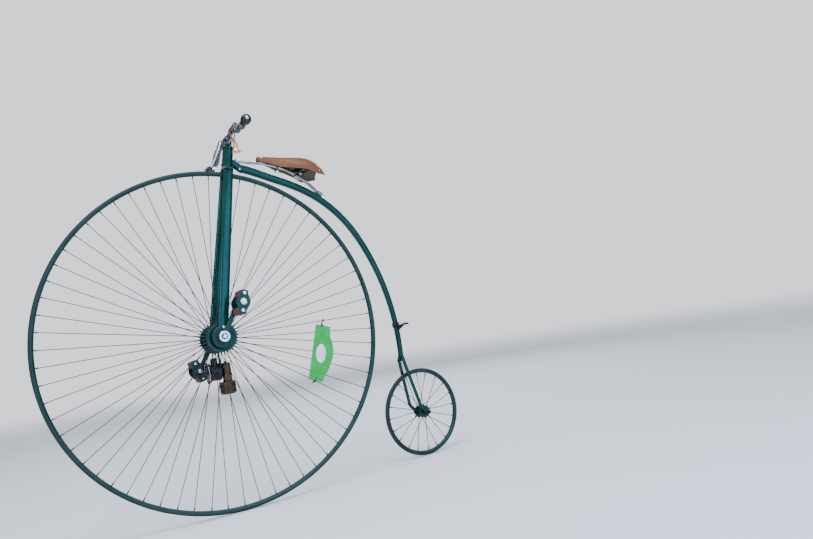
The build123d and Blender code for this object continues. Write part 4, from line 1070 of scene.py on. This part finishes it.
def make_steered_fittings():
    """Heads on the brake's pin and oilers on the bearing cases."""
    mesh = bmesh.new()
    dome(mesh, facing(BRAKE_PIN - RIGHT * BRAKE_PIN_LEFT, -RIGHT), radius=0.0056, height=0.0030)
    dome(mesh, facing(BRAKE_PIN + RIGHT * BRAKE_PIN_RIGHT, RIGHT), radius=0.0056, height=0.0030)
    for side in SIDES.values():
        oiler = facing(OILER + RIGHT * side * BEARING_FACE, RIGHT * side)
        turned(mesh, OILER_CUP, 24, oiler, closed=False)
        dome(mesh, oiler @ Matrix.Translation((0, 0, OILER_DOME)), radius=0.0046, height=0.0024)
    piece_from(mesh, "oilers_and_rivets", "steering", "bright_nickel", STEERED)


BEAD_PROUD = 0.0006
BEAD_RISE = 0.0015


def bead(radius, low):
    """Raised band in an outline, from its foot up."""
    steps = ((0, 0), (1, 1), (1, 2), (0, 3))
    return [(radius + BEAD_PROUD * out, low + BEAD_RISE * up) for out, up in steps]


# Lamp, hung in the wheel: its middle, its chimney, and the gas maker behind it with its water tank
LAMP_MIDDLE = Vector((-0.066, 0, -0.136))
LAMP_BEHIND = Vector((1, 0, 0))
LAMP_RING = arc((0.0452, 0.0006), 0.0010, 0, 324, 9)
JET_START = Vector((0.036, 0, -0.0005))
JET_END = Vector((0.020, 0, 0.0035))
BOWL_WIDE = 0.0285
BOWL_DEEP = 0.026
BOWL_BACK = 0.012
BOWL_WALL = 0.0006
BOWL_TURN = 1.5
CHIMNEY_TOP = Vector((-0.033, 0, -0.085))
COWL_LINE = (
    (0.0120, 0.0),
    (0.0158, 0.0006),
    (0.0165, 0.0020),
    (0.0150, 0.0040),
    (0.0080, 0.0072),
    (0.0030, 0.0080),
    (0.0006, 0.0081),
)
COWL_SLOTS = 10
COWL_SLOT = Vector((0.0142, 0, -0.0080))
GAS_MIDDLE = Vector((0.0125, 0, 0))
TANK_MIDDLE = Vector((0.0085, 0, 0))
GAS_LINE = (
    (0.0168, -0.1810),
    (0.0196, -0.1805),
    (0.0204, -0.1790),
    (0.0204, -0.1765),
    (0.0192, -0.1750),
    *bead(0.0190, -0.1620),
    *bead(0.0190, -0.1420),
    *bead(0.0190, -0.1220),
    (0.0192, -0.1110),
    (0.0202, -0.1095),
    (0.0202, -0.1065),
    (0.0180, -0.1045),
    (0.0070, -0.1030),
    (0.0066, -0.0985),
    (0.0030, -0.0970),
)
TANK_LINE = (
    (0.0010, -0.2350),
    (0.0220, -0.2345),
    (0.0290, -0.2320),
    (0.0325, -0.2275),
    (0.0336, -0.2210),
    (0.0330, -0.2185),
    (0.0334, -0.2160),
    (0.0334, -0.2040),
    (0.0340, -0.2020),
    (0.0340, -0.1990),
    (0.0333, -0.1970),
    (0.0333, -0.1880),
    (0.0340, -0.1865),
    (0.0338, -0.1830),
    (0.0320, -0.1812),
    (0.0100, -0.1806),
)
PIPE_ROUTE = (
    (0.0, -0.016, -0.114),
    (-0.004, -0.0235, -0.116),
    (-0.014, -0.0250, -0.121),
    (-0.0235, -0.0180, -0.127),
)
PIPE_SECTION = arc((0.0, 0.0), 0.0026, 0, 324, 9)


def make_lamp():
    """Plated ring, reflector and jet behind the glass, cowl, and the gas maker with its pipe."""
    lamp = facing(LAMP_MIDDLE, LAMP_BEHIND)
    mesh = bmesh.new()
    turned(mesh, LAMP_RING, 56, lamp)
    piece_from(mesh, "lamp_ring", "lamp", "bright_nickel", STEERED)

    mesh = bmesh.new()
    turns = [BOWL_TURN * step / 8 for step in range(8)]
    bowl = [(BOWL_WIDE * math.cos(a), BOWL_BACK + BOWL_DEEP * math.sin(a)) for a in turns]
    turned(mesh, bowl + [(radius, depth + BOWL_WALL) for radius, depth in bowl[::-1]], 48, lamp)
    rod(mesh, LAMP_MIDDLE + JET_START, LAMP_MIDDLE + JET_END, radius=0.0022)
    piece_from(mesh, "lamp_reflector", "lamp", "bright_nickel", STEERED)

    mesh = bmesh.new()
    cowl = Matrix.Translation(CHIMNEY_TOP)
    turned(mesh, eased(COWL_LINE, 3), 32, cowl, closed=False)
    for slot in range(COWL_SLOTS):
        turn = Matrix.Rotation(math.tau * slot / COWL_SLOTS, 4, "Z")
        place = cowl @ turn @ facing(COWL_SLOT, LAMP_BEHIND)
        box(mesh, place, across=0.0045, deep=0.0035, tall=0.0008, ease=0.0003)
    piece_from(mesh, "lamp_cowl", "lamp", "lamp_japan", STEERED)

    mesh = bmesh.new()
    turned(mesh, GAS_LINE, 48, Matrix.Translation(GAS_MIDDLE), closed=False)
    turned(mesh, TANK_LINE, 56, Matrix.Translation(TANK_MIDDLE), closed=False)
    swept(mesh, eased([GAS_MIDDLE + Vector(point) for point in PIPE_ROUTE], 6), PIPE_SECTION)
    gas = piece_from(mesh, "gas_maker", "lamp", "aged_brass", STEERED, crisp=32.0)
    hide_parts("lamp_generator")


# Plate on the left spokes: its way outwards, its face, its middle, and its two long sides
PLATE_ANGLE = math.radians(108.0)
PLATE_WAY = Vector((math.sin(PLATE_ANGLE), 0, math.cos(PLATE_ANGLE)))
PLATE_SLOPE = 0.1084
PLATE_FACE = (PLATE_WAY * PLATE_SLOPE - RIGHT).normalized()
PLATE_MIDDLE = PLATE_WAY * 0.428 - RIGHT * 0.03297 + PLATE_FACE * 0.002
PLATE_THICK = 0.002
PLATE_STRAIGHT = ((-0.0275, 0.119), (-0.0275, -0.1215))
PLATE_BULGE = (
    (0.0400, -0.1225),
    (0.0435, -0.1070),
    (0.0565, -0.0760),
    (0.0675, -0.0410),
    (0.0730, -0.0070),
    (0.0705, 0.0230),
    (0.0610, 0.0510),
    (0.0490, 0.0730),
    (0.0450, 0.0900),
    (0.0415, 0.1185),
)

# Oval: its middle, width, height and tilt. Ties: place across and up the plate, and half their reach,
# and how far in front of the plate and behind it they lie at their ends and their middle
OVAL_MIDDLE = Vector((0.0137, -0.0025, 0.0))
OVAL_WIDE = 0.046
OVAL_TALL = 0.081
OVAL_TILT = math.radians(5.0)
PLATE_TIES = ((0.002, 0.1275, 0.0165), (0.001, -0.1205, 0.0100))
TIE_HALF = 0.004
TIE_FRONT = (0.0010, 0.0024)
TIE_BEHIND = (-0.0088, -0.0100)
TIE_KNOT = 0.0012
TIE_SECTION = ((0.0022, 0.0006), (-0.0022, 0.0006), (-0.0022, -0.0006), (0.0022, -0.0006))


def make_plate():
    """Card with one bulging side, its blank white oval, and the ties that hold it to the spokes."""
    place = STEERED @ facing(PLATE_MIDDLE, PLATE_FACE, PLATE_FACE.cross(PLATE_WAY))
    edge = [*PLATE_STRAIGHT, *eased(PLATE_BULGE, 6)]
    mesh = bmesh.new()
    skin(mesh, [[(*point, up) for point in edge] for up in (-PLATE_THICK, 0.0)])
    card = piece_from(mesh, "plate_card", "front_wheel", "plate_green", place)
    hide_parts("number_plate")

    mesh = bmesh.new()
    outlines = []
    for inset, up in ((0.0, 0.0), (0.0, 0.00025), (0.0006, 0.0005)):
        wide, tall = OVAL_WIDE / 2 - inset, OVAL_TALL / 2 - inset
        outlines.append([(wide * x, tall * y, up) for x, y in arc((0.0, 0.0), 1.0, 0, 360, 64)[:-1]])
    skin(mesh, outlines, Matrix.Translation(OVAL_MIDDLE) @ Matrix.Rotation(OVAL_TILT, 4, "Z"))
    piece_from(mesh, "plate_oval", "front_wheel", "plate_white", place)

    mesh = bmesh.new()
    for across, tall, reach in PLATE_TIES:
        inner, outer = (across - TIE_HALF, tall - reach), (across + TIE_HALF, tall + reach)
        loop = [(*inner, TIE_BEHIND[0]), (*inner, TIE_FRONT[0]), (across, tall, TIE_FRONT[1])]
        loop += [(*outer, TIE_FRONT[0]), (*outer, TIE_BEHIND[0]), (across, tall, TIE_BEHIND[1])]
        swept(mesh, eased(loop + loop[:1], 5), TIE_SECTION)
        knot = Matrix.Translation((across, tall - 0.5 * reach, TIE_KNOT))
        box(mesh, knot, across=0.0075, deep=0.0060, tall=0.0034, ease=0.0008)
    piece_from(mesh, "plate_ties", "front_wheel", "tie_black", place)


for make in (make_tyre, make_rim, make_nipples):
    for wheel in WHEELS:
        make(wheel)
dress_frame()
make_grips()
make_bell()
make_axle_ends()
for name, side in SIDES.items():
    make_pedal(name, side)
make_leather()
make_rivets()
make_spring_fittings()
make_frame_fittings()
make_step_treads()
make_steered_fittings()
make_lamp()
make_plate()

# Camera, at the photograph's viewing angle
CAMERA_PLACE = FRONT_HUB + Vector((-1.1184, -3.0937, -0.0089))
CAMERA_RIGHT = Vector((0.82014, -0.54823, -0.16375))
CAMERA_UP = Vector((0.10733, -0.13370, 0.98519))
CAMERA_LENS = 34.016


def make_camera():
    """Camera that frames the bicycle as the photograph does."""
    data = bpy.data.cameras.new("camera")
    data.sensor_width = 36.0
    data.lens = CAMERA_LENS
    data.clip_start, data.clip_end = 0.05, 100.0
    camera = bpy.data.objects.new("camera", data)
    bpy.context.scene.collection.objects.link(camera)
    backward = CAMERA_RIGHT.cross(CAMERA_UP).normalized()
    right = CAMERA_UP.cross(backward).normalized()
    turn = Matrix((right, CAMERA_UP, backward)).transposed().to_4x4()
    camera.matrix_world = Matrix.Translation(CAMERA_PLACE) @ turn
    bpy.context.scene.camera = camera


def soft_light(name, place, size, power, colour=(1.0, 1.0, 1.0)):
    """Large lamp that faces the middle of the bicycle."""
    data = bpy.data.lights.new(name, "AREA")
    data.shape = "RECTANGLE"
    data.size, data.size_y = size
    data.energy = power
    data.color = colour
    lamp = bpy.data.objects.new(name, data)
    bpy.context.scene.collection.objects.link(lamp)
    middle = FRONT_HUB + Vector((0.35, 0, 0))
    lamp.matrix_world = facing(Vector(place), Vector(place) - middle)


FLOOR_RADIUS = 12.0

# Light from all round, by height from straight down to straight up: a pale sky over a dim horizon
SURROUND = (
    (0.0, (0.42, 0.42, 0.44, 1.0)),
    (0.47, (0.30, 0.31, 0.33, 1.0)),
    (0.50, (0.07, 0.08, 0.09, 1.0)),
    (0.56, (0.12, 0.15, 0.18, 1.0)),
    (0.66, (0.50, 0.62, 0.78, 1.0)),
    (1.0, (0.95, 0.98, 1.0, 1.0)),
)
BACKDROP = (1.30, 1.33, 1.42, 1.0)


def make_world():
    """Even pale backdrop, and a graded sky that lights the bicycle and shows in its bright parts."""
    world = bpy.data.worlds.new("studio")
    bpy.context.scene.world = world
    sky = Finish(world, "Background", "Generated")
    sky.wear(Color=BACKDROP)
    height = sky.node("ShaderNodeMapRange", {}, {"Value": sky.axis("Z"), "From Min": -1.0})
    shade = sky.node("ShaderNodeValToRGB", {"stops": SURROUND}, {"Fac": height})
    graded = sky.node("ShaderNodeBackground", {}, {"Color": shade})
    sky.give_way(1 - sky.node("ShaderNodeLightPath", {}, {}, "Is Camera Ray"), graded)


def make_studio():
    """Pale floor under the wheels, and four large lamps."""
    mesh = bmesh.new()
    bmesh.ops.create_circle(mesh, cap_ends=True, radius=FLOOR_RADIUS, segments=96)
    data = bpy.data.meshes.new("floor")
    mesh.to_mesh(data)
    mesh.free()
    floor = bpy.data.objects.new("floor", data)
    bpy.context.scene.collection.objects.link(floor)
    floor.location.z = FRONT_HUB.z - FRONT_RADIUS
    data.materials.append(MATERIALS["floor_matt"])

    make_world()
    soft_light("sky", (-1.0, -1.6, 3.4), (4.2, 3.0), 260, (0.84, 0.92, 1.0))
    soft_light("side", (-3.8, -2.6, 0.4), (0.7, 2.6), 60, (0.80, 0.92, 1.0))
    soft_light("front", (0.2, -4.2, 0.2), (4.2, 2.8), 165, (0.29, 0.50, 0.86))
    soft_light("back", (2.8, 3.4, 1.6), (2.4, 1.6), 90)


make_camera()
make_studio()
